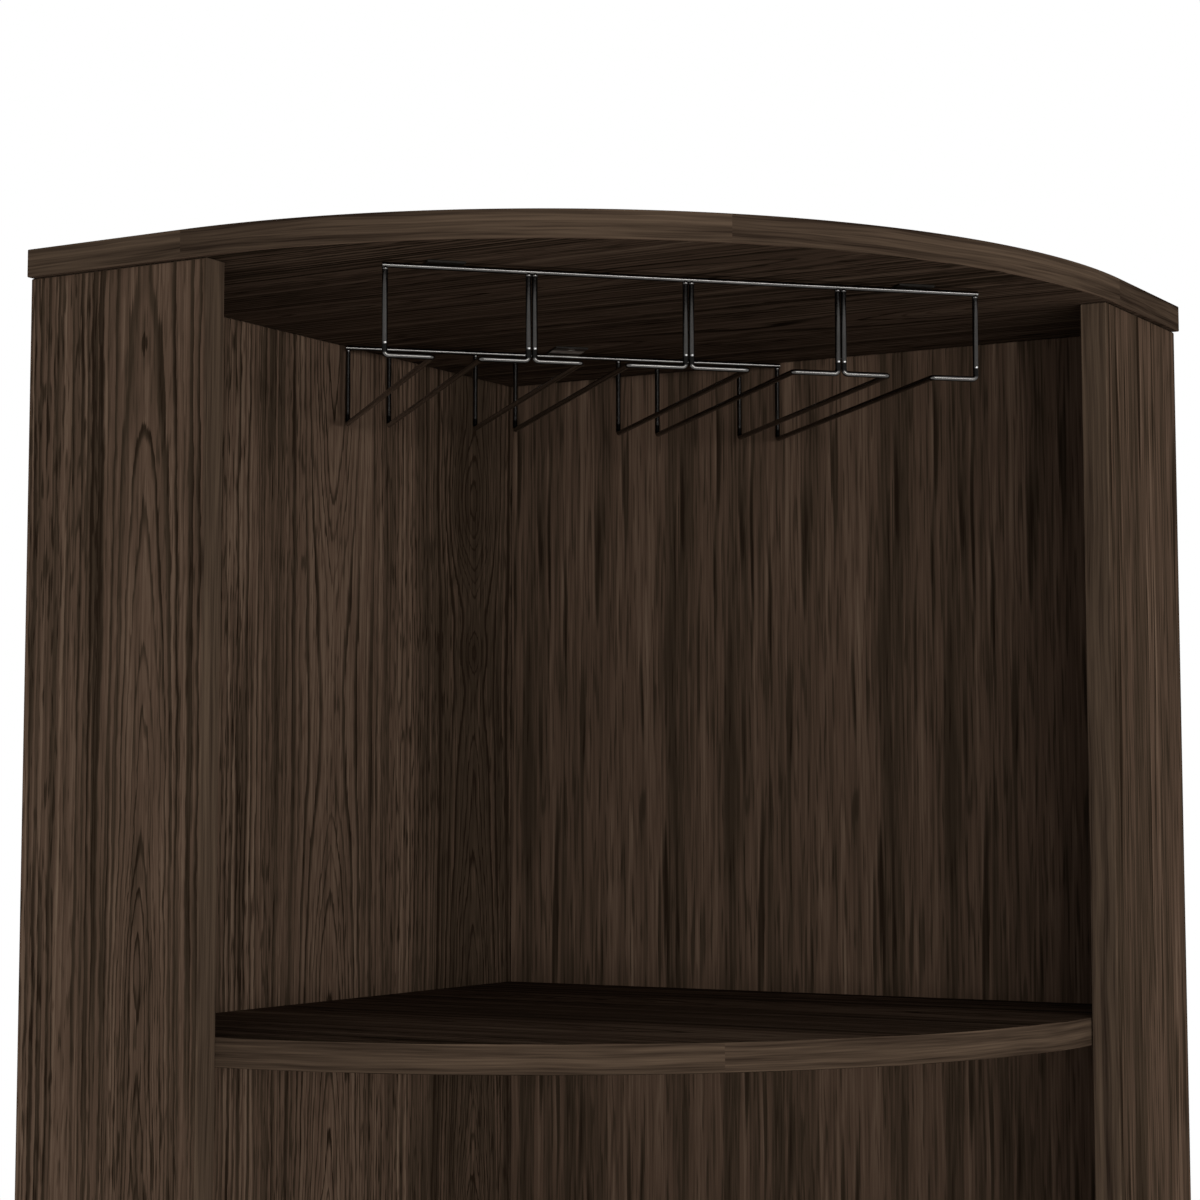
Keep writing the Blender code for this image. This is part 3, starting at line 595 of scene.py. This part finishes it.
def board_mesh(name, outline, low, high):
    """Level board with rounded edges. Its map holds the place across and along the grain, in metres:
    along the right wall on the faces, and along the outline on the edges."""
    count = len(outline)
    sides = [(outline[(i + 1) % count] - outline[i]).normalized() for i in range(count)]
    normals = [Vector((side.y, -side.x, 0)) for side in sides]
    if sum(a.cross(b).z for a, b in zip(outline, outline[1:] + outline[:1])) < 0:
        normals = [-outward for outward in normals]
    lean = [(normals[i - 1] + normals[i]) / (1 + normals[i - 1].dot(normals[i])) for i in range(count)]
    run = [0.0]
    for i in range(count):
        run.append(run[-1] + (outline[(i + 1) % count] - outline[i]).length)

    angles = [pi / 2 * step / ARRIS_STEPS for step in range(ARRIS_STEPS + 1)]
    round_over = [(ARRIS * (1 - sin(angle)), ARRIS * (1 - cos(angle))) for angle in angles]
    profile = [(inset, high - drop) for inset, drop in round_over]
    profile += [(inset, low + drop) for inset, drop in reversed(round_over)]

    bm = bmesh.new()
    grain = bm.loops.layers.uv.new("grain")
    rings = [[bm.verts.new((outline[i] - lean[i] * inset).to_2d().to_3d() + UP * height)
              for i in range(count)] for inset, height in profile]
    for upper, lower, (_, top), (_, foot) in zip(rings, rings[1:], profile, profile[1:]):
        for i in range(count):
            j = (i + 1) % count
            face = bm.faces.new((upper[i], lower[i], lower[j], upper[j]))
            for loop, place in zip(face.loops, ((top, run[i]), (foot, run[i]), (foot, run[i + 1]),
                                                (top, run[i + 1]))):
                loop[grain].uv = place
            face.smooth = True
    for ring in (rings[0], rings[-1]):
        face = bm.faces.new(ring)
        for loop in face.loops:
            off = loop.vert.co - Vector((0, corner_y, 0))
            loop[grain].uv = (off.dot(OUT["right"]), off.dot(ACROSS["right"]))
        face.smooth = True
    bmesh.ops.recalc_face_normals(bm, faces=bm.faces)
    mesh = mesh_from(bm, name)
    mesh.set_sharp_from_angle(angle=SHARP)
    return mesh


def weighted(piece):
    """Keep flat faces flat in their shading beside the rounded edges."""
    modifier = piece.modifiers.new("flat_faces", "WEIGHTED_NORMAL")
    modifier.keep_sharp = True
    modifier.weight = FLAT_WEIGHT


# Flames and knots of the sheets, by their places across the sheet. The left side's are as in the picture.
LEVEL_FLAMES = [(0.13, 0.25, 0.9, 0.14, 0.020, 0.0), (0.31, 0.40, 1.1, 0.12, 0.018, 0.0)]
DOOR_FLAMES = [(0.11, 0.95, 1.1, 0.14, 0.018, 0.06), (-0.11, 0.95, 1.1, 0.14, 0.018, 0.06)]
EDGE_FLAME = (1.79, 1.0, 0.085, 0.014, 0.09)
EDGE_KNOT = (1.745, 0.006, 0.012, 0.003, 0.12)
PANEL_FLAMES = [(0.0, *EDGE_FLAME), (-0.17, 1.58, 1.3, 0.12, 0.03, 0.0)]
PANEL_KNOTS = [(0.0, *EDGE_KNOT), (-0.002, 1.435, 0.008, 0.035, 0.006, 0.0)]
PANEL_FLAME_IN = 0.080        # from the left panel's outer edge to its first flame
PANEL_CONTRAST = 0.84
WALL_FLAMES = [(0.062, 1.60, 1.1, 0.120, 0.026, 0.34), (0.218, 1.565, 1.1, 0.120, 0.024, 0.0),
               (0.392, *EDGE_FLAME)]
WALL_KNOTS = [(0.068, 1.700, 0.024, 0.040, 0.022, 0.10), (0.064, 1.605, 0.015, 0.016, 0.009, 0.18),
              (0.060, 1.230, 0.016, 0.034, 0.012, 0.08), (0.392, *EDGE_KNOT)]


def placed(start, marks):
    """Flames or knots with their places counted from a start."""
    return [(start + place, *rest) for place, *rest in marks]


def dress_level_boards():
    level = flamed(LEVEL_FLAMES)
    boards = (("top_panel", 0, top_arc, 1), ("upper_shelf", BACK_BOARD + SEAT, shelf_arc, 2),
              ("counter_deck", BACK_BOARD + SEAT, shelf_arc, 3),
              ("cupboard_deck", BACK_BOARD + SEAT, shelf_arc, 4),
              ("bottom_panel", BACK_BOARD + SEAT, shelf_arc, 5),
              ("bottle_shelf", BACK_BOARD + SEAT, shelf_arc - BOTTLE_SETBACK, 6))
    for node, back, radius, sheet in boards:
        low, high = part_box(node)
        outline = quarter_outline(back, radius)
        if node == "bottle_shelf":
            outline = notched(outline, radius, bottle_notches(radius))
        band = jointed(radius + 2 * (SIDE_EDGE - back), radius * pi / 4)
        # level faces are darkened, as painted shade
        material = walnut(f"walnut_{node}", sheet, mapped, level, band, upright_edge, LEVEL_SHADE_DIM)
        name = node.replace("_panel", "_board").replace("_deck", "_board").replace("_shelf", "_board")
        piece = piece_from(name, board_mesh(name, outline, low.z, high.z), material, "case", "walnut", node)
        weighted(piece)


def bottle_notches(radius):
    """Slots that take the dividers, from the case's own sizes."""
    notches = []
    for x in (-BOTTLE_PITCH, 0, BOTTLE_PITCH):
        widest = abs(x) + BOARD / 2
        rear = BACK_BOARD * ROOT2 + widest + DIVIDER_GAP
        front = SIDE_EDGE * ROOT2 + sqrt(radius ** 2 - widest ** 2)
        notches.append((x, BOARD / 2 + SEAT, corner_y - (rear + front) / 2 + SEAT / 2))
    return notches


def dress_flat_panels():
    """Materials for the flat boards, which keep their shape."""
    nodes = frame["nodes"]
    around = measured(Vector((0, -ROOT2, 0)), UP, -corner_y * ROOT2)   # across plus out
    first = WALL_RUN - OVERHANG + PANEL_FLAME_IN
    left_panel = flamed(placed(first, PANEL_FLAMES), placed(first, PANEL_KNOTS), PANEL_CONTRAST)
    left_wall = flamed(placed(BACK_BOARD, WALL_FLAMES), placed(BACK_BOARD, WALL_KNOTS))
    door = flamed(DOOR_FLAMES)
    figures = {"left": (left_panel, left_wall), "right": (soft, soft)}
    looks = []
    for number, side in enumerate(SIDES):
        panel, wall = figures[side]
        looks += [
            (f"{side}_side_panel", walnut(
                f"walnut_{side}_side_panel", 11 + number, around, panel, around, facing(OUT[side], UP))),
            (f"{side}_back_panel", walnut(
                f"walnut_{side}_back_panel", 13 + number, around, wall)),
            (f"{side}_door", walnut(
                f"walnut_{side}_door", 15 + number, measured(CROSSWISE, UP), door,
                measured(CROSSWISE + DEPTHWISE, UP), facing(CROSSWISE, UP))),
        ]
    for number, place in enumerate(("left", "centre", "right")):
        looks.append((f"bottle_divider_{place}", walnut(
            f"walnut_divider_{place}", 17 + number, measured(UP, DEPTHWISE), soft,
            measured(CROSSWISE, UP), facing(DEPTHWISE))))
    looks.append(("plinth_board", walnut("walnut_plinth", 20, measured(UP + DEPTHWISE, CROSSWISE))))
    looks.append(("cupboard_shelf", walnut(
        "walnut_cupboard_shelf", 21, measured(OUT["right"], ACROSS["right"]), soft,
        measured(UP, CROSSWISE), facing(DEPTHWISE))))
    for node, material in looks:
        nodes[node].data.materials.clear()
        nodes[node].data.materials.append(material)


def grown(name, mesh, tree, values):
    """Plain mesh that a geometry tree makes from a mesh, with the tree's inputs set by name."""
    seed = bpy.data.objects.new(name, mesh)
    bpy.context.scene.collection.objects.link(seed)
    modifier = seed.modifiers.new(tree.name, "NODES")
    modifier.node_group = tree
    names = {item.name: item.identifier for item in tree.interface.items_tree
             if item.item_type == "SOCKET" and item.in_out == "INPUT"}
    for label, value in values.items():
        modifier[names[label]] = value
    bpy.context.view_layer.update()
    made = bpy.data.meshes.new_from_object(seed.evaluated_get(bpy.context.evaluated_depsgraph_get()))
    bpy.data.objects.remove(seed)
    return made


def geometry_tree(name, inputs):
    """Empty geometry tree with named inputs. Returns it with its input node."""
    tree = bpy.data.node_groups.new(name, "GeometryNodeTree")
    tree.interface.new_socket("Geometry", in_out="INPUT", socket_type="NodeSocketGeometry")
    for label, kind in inputs:
        tree.interface.new_socket(label, in_out="INPUT", socket_type="NodeSocket" + kind)
    tree.interface.new_socket("Geometry", in_out="OUTPUT", socket_type="NodeSocketGeometry")
    return tree, add(tree, "NodeGroupInput").outputs


def end_tree(tree, geometry, material):
    """Realize the instances, set the material and end the tree."""
    real = add(tree, "GeometryNodeRealizeInstances", {0: geometry}).outputs[0]
    add(tree, "NodeGroupOutput", {0: add(tree, "GeometryNodeSetMaterial",
                                         {"Geometry": real, "Material": material}).outputs[0]})


def rod_tree():
    """Round bar along the mesh's edges, bent to a radius at every corner."""
    tree, given = geometry_tree("bent_rod", [("Diameter", "Float"), ("Bend Radius", "Float"),
                                             ("Bend Steps", "Int"), ("Sides", "Int"),
                                             ("Material", "Material")])
    path = add(tree, "GeometryNodeMeshToCurve", {"Mesh": given["Geometry"]}).outputs[0]
    path = add(tree, "GeometryNodeFilletCurve", {
        "Curve": path, "Count": given["Bend Steps"], "Radius": given["Bend Radius"],
        "Limit Radius": True}, mode="POLY").outputs[0]
    radius = calc(tree, "MULTIPLY", given["Diameter"], 0.5)
    section = add(tree, "GeometryNodeCurvePrimitiveCircle", {
        "Resolution": given["Sides"], "Radius": radius}, mode="RADIUS").outputs[0]
    bar = add(tree, "GeometryNodeCurveToMesh", {
        "Curve": path, "Profile Curve": section, "Fill Caps": True}).outputs[0]
    end_tree(tree, bar, given["Material"])
    return tree


def polyline(name, path):
    """Mesh of loose edges along a path."""
    mesh = bpy.data.meshes.new(name)
    mesh.from_pydata(path, [(i, i + 1) for i in range(len(path) - 1)], [])
    return mesh


def rod(name, path, diameter, bend, sides, material, body, node):
    """Piece of bent round bar that stands for a node."""
    mesh = grown(name, polyline(name, path), ROD, {
        "Diameter": diameter, "Bend Radius": bend, "Bend Steps": BEND_STEPS, "Sides": sides,
        "Material": material})
    mesh.shade_smooth()
    mesh.set_sharp_from_angle(angle=ROD_SHARP)
    return piece_from(name, mesh, material, body, "dark_metal", node)


def hanger_place(number):
    """Lowest and highest corner of a hanger, and the x of its front leg and of its run. They are made in
    pairs, with the legs outside."""
    low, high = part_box(f"glass_wire_{number}")
    ends = low.x + WIRE / 2, high.x - WIRE / 2
    leg, run = ends if number % 2 else reversed(ends)
    return low, high, leg, run


def dress_glass_rack():
    """Rails and bent hangers at the places of their nodes."""
    half = WIRE / 2
    rails = {name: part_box(f"rack_{name}_rail") for name in ("front", "rear")}
    for name, (low, high) in rails.items():
        middle = (low + high) / 2
        rod(f"{name}_rail", [(low.x, middle.y, middle.z), (high.x, middle.y, middle.z)], WIRE, WIRE_BEND,
            WIRE_SIDES, WIRE_METAL, "case", f"rack_{name}_rail")
    front_y = (rails["front"][0].y + rails["front"][1].y) / 2
    rear_y = (rails["rear"][0].y + rails["rear"][1].y) / 2
    for number in range(1, HANGERS + 1):
        low, high, leg, run = hanger_place(number)
        level = low.z + half
        rod(f"hanger_{number}", [(leg, front_y, high.z), (leg, front_y, level), (run, front_y, level),
                                 (run, rear_y, level), (run, rear_y, high.z)],
            WIRE, WIRE_BEND, WIRE_SIDES, WIRE_METAL, "case", f"glass_wire_{number}")


def marked(name, places):
    """Mesh of loose points, each with the direction that its screw faces and its head's radius."""
    mesh = bpy.data.meshes.new(name)
    mesh.from_pydata([tuple(spot) for spot, _, _ in places], [], [])
    mesh.attributes.new("facing", "FLOAT_VECTOR", "POINT")
    mesh.attributes.new("radius", "FLOAT", "POINT")
    for index, (_, direction, size) in enumerate(places):
        mesh.attributes["facing"].data[index].vector = direction
        mesh.attributes["radius"].data[index].value = size
    return mesh


def named(tree, name, kind):
    return add(tree, "GeometryNodeInputNamedAttribute", {"Name": name}, data_type=kind).outputs[0]


def round_ball(tree, sides, rings):
    inputs = {"Segments": sides, "Rings": rings, "Radius": 1.0}
    return add(tree, "GeometryNodeMeshUVSphere", inputs).outputs[0]


def transformed(tree, geometry, **inputs):
    return add(tree, "GeometryNodeTransform", {"Geometry": geometry, **inputs}).outputs[0]


def bead_tree():
    """Small round bead on every point."""
    tree, given = geometry_tree("weld_beads", [("Sides", "Int"), ("Material", "Material")])
    ball = round_ball(tree, given["Sides"], given["Sides"])
    beads = add(tree, "GeometryNodeInstanceOnPoints", {
        "Points": given["Geometry"], "Instance": ball, "Scale": named(tree, "radius", "FLOAT")}).outputs[0]
    end_tree(tree, beads, given["Material"])
    return tree


def screw_tree():
    """Low screw head with a cross recess on every point, square to the way that the point faces."""
    tree, given = geometry_tree("screw_heads", [
        ("Sides", "Int"), ("Rings", "Int"), ("Rise Share", "Float"), ("Recess Share", "Float"),
        ("Recess Length Share", "Float"), ("Material", "Material")])
    rise = given["Rise Share"]
    ball = round_ball(tree, given["Sides"], given["Rings"])
    head = transformed(tree, ball, Scale=join(tree, 1.0, 1.0, rise))
    for long, wide in ((0, 1), (1, 0)):
        size = {long: given["Recess Length Share"], wide: given["Recess Share"], 2: rise}
        box = add(tree, "GeometryNodeMeshCube", {"Size": join(tree, *(size[axis] for axis in range(3)))})
        arm = transformed(tree, box.outputs[0], Translation=join(tree, 0.0, 0.0, rise))
        cut = add(tree, "GeometryNodeMeshBoolean", {0: head}, operation="DIFFERENCE", solver="MANIFOLD")
        tree.links.new(arm, cut.inputs[1])
        head = cut.outputs[0]
    turn = add(tree, "FunctionNodeAlignRotationToVector", {
        "Vector": named(tree, "facing", "FLOAT_VECTOR")}, axis="Z").outputs[0]
    heads = add(tree, "GeometryNodeInstanceOnPoints", {
        "Points": given["Geometry"], "Instance": head, "Rotation": turn,
        "Scale": named(tree, "radius", "FLOAT")}).outputs[0]
    end_tree(tree, heads, given["Material"])
    return tree


def scattered(name, tree, places, material, body, slot, values):
    """Piece that a geometry tree makes from marked points."""
    mesh = grown(name, marked(name, places), tree, {**values, "Material": material})
    mesh.shade_smooth()
    mesh.set_sharp_from_angle(angle=SHARP)
    return piece_from(name, mesh, material, body, slot)


def dress_welds():
    """Beads where the hangers meet the rails, and pale nubs above the front ledges as painted highlights.
    """
    meets, highlight_nubs = [], []
    half = WIRE / 2
    for number in range(1, HANGERS + 1):
        low, high, leg, run = hanger_place(number)
        meets += [(Vector((leg, low.y + half, high.z)), UP, BEAD_RADIUS),
                  (Vector((run, high.y - half, high.z)), UP, BEAD_RADIUS)]
        highlight_nubs.append((Vector((leg, low.y + NUB_RADIUS / 2, low.z + half + NUB_RISE)), UP, NUB_RADIUS))
    for name, places, material in (("beads", meets, DARK_METAL), ("highlight_nubs", highlight_nubs, NUB_HIGHLIGHT_METAL)):
        scattered(f"weld_{name}", BEADS, places, material, "case", "dark_metal", {"Sides": BEAD_SIDES})


def dress_screws():
    """Screw heads of the plates, hinges, catches and handles."""
    heads = {"case": [], "left_door": [], "right_door": []}
    for tab in TABS:
        low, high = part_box(f"rack_tab_{tab}")
        y = low.y + HOLE_FROM_END if tab == "rear" else high.y - HOLE_FROM_END
        heads["case"].append((Vector(((low.x + high.x) / 2, y, low.z)), -UP, SCREW_HEAD))
    for side, sign in SIDES.items():
        body = f"{side}_door"
        inward = CROSSWISE * -sign
        for row in ROWS:
            low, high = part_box(f"{side}_{row}_hinge_pin")
            leaf_low, leaf_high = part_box(f"{side}_{row}_hinge_door_leaf")
            axis = (low + high) / 2
            for shift in (-SCREW_SPREAD, SCREW_SPREAD):
                level = UP * ((leaf_low.z + leaf_high.z) / 2 + shift)
                flat = Vector((axis.x, axis.y, 0)) + level
                frame_spot = flat - ACROSS[side] * KNUCKLE_RADIUS - OUT[side] * FRAME_SCREW
                door_spot = flat + inward * (KNUCKLE_RADIUS - LEAF) + DEPTHWISE * DOOR_SCREW
                heads["case"].append((frame_spot, -ACROSS[side], SCREW_HEAD))
                heads[body].append((door_spot, -inward, SCREW_HEAD))
        low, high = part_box(f"{side}_handle")
        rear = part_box(body)[1].y
        for level in (low.z + HANDLE_BAR / 2, high.z - HANDLE_BAR / 2):
            heads[body].append((Vector(((low.x + high.x) / 2, rear, level)), DEPTHWISE, HANDLE_HEAD))
        low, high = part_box(f"{side}_catch")
        for x in (low.x + CATCH_SCREW, high.x - CATCH_SCREW):
            heads["case"].append((Vector((x, (low.y + high.y) / 2, low.z)), -UP, SCREW_HEAD))
    for body, places in heads.items():
        scattered(f"{body}_screws", SCREWS, places, ZINC, body, "steel", {
            "Sides": SCREW_SIDES, "Rings": SCREW_RINGS, "Rise Share": HEAD_RISE_SHARE,
            "Recess Share": RECESS_SHARE, "Recess Length Share": RECESS_LENGTH_SHARE})


def dress_catches():
    """Pole plates and the magnet between them, in the mouth of each catch."""
    width, deep, height = CATCH_MOUTH
    for side in SIDES:
        low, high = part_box(f"{side}_catch")
        middle = (low + high) / 2
        bm = bmesh.new()
        for place, share in ((-1, POLE_PROUD_SHARE), (0, MAGNET_PROUD_SHARE), (1, POLE_PROUD_SHARE)):
            thick = height / 4 if place else height / 2
            proud = deep * share
            size = Matrix.Diagonal((width - 2 * SEAT, proud, thick - SEAT, 1))
            spot = Vector((middle.x, low.y + deep - proud / 2, middle.z + place * height * 3 / 8))
            bmesh.ops.create_cube(bm, size=1, matrix=Matrix.Translation(spot) @ size)
        bmesh.ops.bevel(bm, geom=bm.edges, offset=SEAT / 3, segments=2, affect="EDGES")
        piece_from(f"{side}_catch_plates", mesh_from(bm, "catch_plates"), ZINC, "case", "steel")


def dress_handles():
    for side in SIDES:
        low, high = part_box(f"{side}_handle")
        x = (low.x + high.x) / 2
        half = HANDLE_BAR / 2
        rod(f"{side}_bow_handle", [(x, high.y, low.z + half), (x, low.y + half, low.z + half),
                                   (x, low.y + half, high.z - half), (x, high.y, high.z - half)],
            HANDLE_BAR, HANDLE_BEND, HANDLE_SIDES, DARK_METAL, f"{side}_door", f"{side}_handle")


def smooth_copy(node, name, material, body, slot):
    """Welded, smoothly shaded copy of a small round node."""
    bm = bmesh.new()
    bm.from_mesh(frame["nodes"][node].data)
    bmesh.ops.remove_doubles(bm, verts=bm.verts, dist=SEAT / 10)
    mesh = mesh_from(bm, name)
    mesh.shade_smooth()
    mesh.set_sharp_from_angle(angle=SHARP)
    return piece_from(name, mesh, material, body, slot, node)


def dress_small_parts():
    for number in range(1, GLIDES + 1):
        smooth_copy(f"glide_{number}", f"nail_glide_{number}", GREY_PLASTIC, "case", "plastic")
    for number in range(1, SHELF_PINS + 1):
        smooth_copy(f"shelf_pin_{number}", f"steel_pin_{number}", ZINC, "case", "steel")
    for side in SIDES:
        for row in ROWS:
            hinge = f"{side}_{row}_hinge"
            for kind, body in (("frame_leaf", "case"), ("door_leaf", f"{side}_door"), ("pin", "case")):
                smooth_copy(f"{hinge}_{kind}", f"{side}_{row}_{kind}", ZINC, body, "steel")
        frame["nodes"][f"{side}_strike"].data.materials[0] = ZINC
        frame["nodes"][f"{side}_catch"].data.materials[0] = GREY_PLASTIC
    for tab in TABS:
        frame["nodes"][f"rack_tab_{tab}"].data.materials[0] = PLATE_METAL


ROD = rod_tree()
BEADS = bead_tree()
SCREWS = screw_tree()
dress_level_boards()
dress_flat_panels()
dress_glass_rack()
dress_welds()
dress_handles()
dress_small_parts()
dress_catches()
dress_screws()


# Stage: white surroundings, a pale floor that keeps the shadow, and a soft lamp in front
AMBIENT = 0.32
WHITE = (1, 1, 1, 1)
FLOOR_RADIUS = 9.0
FLOOR_SIDES = 128
FLOOR_FADE = (1.2, 3.2)       # from here out the floor melts into the white surroundings
FLOOR_LIFT = 0.45             # share of white in the floor close by
FLOOR_GRIT = (40, 40, 40)     # steps per metre of its faint grit
FLOOR_SHADES = ((0.80, 0.80, 0.80), (0.84, 0.84, 0.84))
LAMP_SPOT = (0.4, -3.6, 1.5)
LAMP_AIM = (0, 0, 1.4)
LAMP_SIZE = (3.0, 0.6)
LAMP_POWER = 75


def seen_directly(tree):
    """1 for rays that show the surroundings: from the camera, in gloss and through glass."""
    path = add(tree, "ShaderNodeLightPath").outputs
    shown = calc(tree, "MAXIMUM", path["Is Camera Ray"], path["Is Glossy Ray"])
    return calc(tree, "MAXIMUM", shown, path["Is Transmission Ray"])


def build_surroundings():
    world = bpy.data.worlds.new("white_studio")
    world.use_nodes = True
    tree = world.node_tree
    strength = blend(tree, seen_directly(tree), AMBIENT, 1.0, "FLOAT")
    background = tree.nodes["Background"]
    background.inputs["Color"].default_value = WHITE
    tree.links.new(strength, background.inputs["Strength"])
    bpy.context.scene.world = world

    bm = bmesh.new()
    bmesh.ops.create_circle(bm, cap_ends=True, segments=FLOOR_SIDES, radius=FLOOR_RADIUS)
    floor = bpy.data.objects.new("floor", mesh_from(bm, "floor"))
    bpy.context.scene.collection.objects.link(floor)
    material, tree, shader = new_material("pale_floor", Roughness=0.9, Specular_IOR_Level=0.1)
    spot = add(tree, "ShaderNodeSeparateXYZ", {0: position(tree)}).outputs
    away = calc(tree, "SQRT", calc(tree, "ADD", calc(tree, "MULTIPLY", spot[0], spot[0]),
                                   calc(tree, "MULTIPLY", spot[1], spot[1])))
    grit = noise(tree, scaled(tree, FLOOR_GRIT), 3.0)
    tree.links.new(ramp(tree, grit, list(zip(NOISE_LIMITS, FLOOR_SHADES))), shader.inputs["Base Color"])
    white = add(tree, "ShaderNodeEmission", {"Color": WHITE, "Strength": 1.0}).outputs[0]
    share = calc(tree, "MULTIPLY", ease(tree, away, *FLOOR_FADE, FLOOR_LIFT, 1.0), seen_directly(tree))
    mix = add(tree, "ShaderNodeMixShader", {0: share, 1: shader.outputs[0], 2: white}).outputs[0]
    tree.links.new(mix, tree.nodes["Material Output"].inputs["Surface"])
    floor.data.materials.append(material)


def build_lamp():
    """Soft wide lamp in front, aimed at the cabinet."""
    data = bpy.data.lights.new("front_lamp", "AREA")
    data.shape = "RECTANGLE"
    data.size, data.size_y = LAMP_SIZE
    data.energy = LAMP_POWER
    lamp = bpy.data.objects.new("front_lamp", data)
    lamp.location = LAMP_SPOT
    lamp.rotation_euler = (Vector(LAMP_AIM) - Vector(LAMP_SPOT)).to_track_quat("-Z", "Y").to_euler()
    lamp.visible_camera = False
    bpy.context.scene.collection.objects.link(lamp)


# Camera at the place that the picture was taken from, from the fit of the boards' edges
CAMERA_SPOT = (-0.40597, -1.53408, 1.51044)
CAMERA_TURN = radians(-14.784)
CAMERA_TILT = radians(5.290)
CAMERA_ROLL = radians(-0.023)
PICTURE = 1200                # pixels along each side of the picture
FOCAL_PIXELS = 2746.5
LENS_AXIS_PIXELS = (598.2, 546.1)
SENSOR = 36.0                 # millimetres
CLIP_START = 0.05


def build_camera():
    data = bpy.data.cameras.new("camera")
    data.sensor_width = SENSOR
    data.lens = FOCAL_PIXELS / PICTURE * SENSOR
    data.shift_x = (PICTURE / 2 - LENS_AXIS_PIXELS[0]) / PICTURE
    data.shift_y = (LENS_AXIS_PIXELS[1] - PICTURE / 2) / PICTURE
    data.clip_start = CLIP_START
    camera = bpy.data.objects.new("camera", data)
    ahead = Vector((-sin(CAMERA_TURN) * cos(CAMERA_TILT), cos(CAMERA_TURN) * cos(CAMERA_TILT),
                    sin(CAMERA_TILT)))
    aimed = ahead.to_track_quat("-Z", "Y").to_matrix().to_4x4()
    camera.matrix_world = Matrix.Translation(CAMERA_SPOT) @ aimed @ Matrix.Rotation(CAMERA_ROLL, 4, "Z")
    bpy.context.scene.collection.objects.link(camera)
    bpy.context.scene.camera = camera


build_surroundings()
build_lamp()
build_camera()
bpy.context.scene.view_settings.view_transform = "Standard"
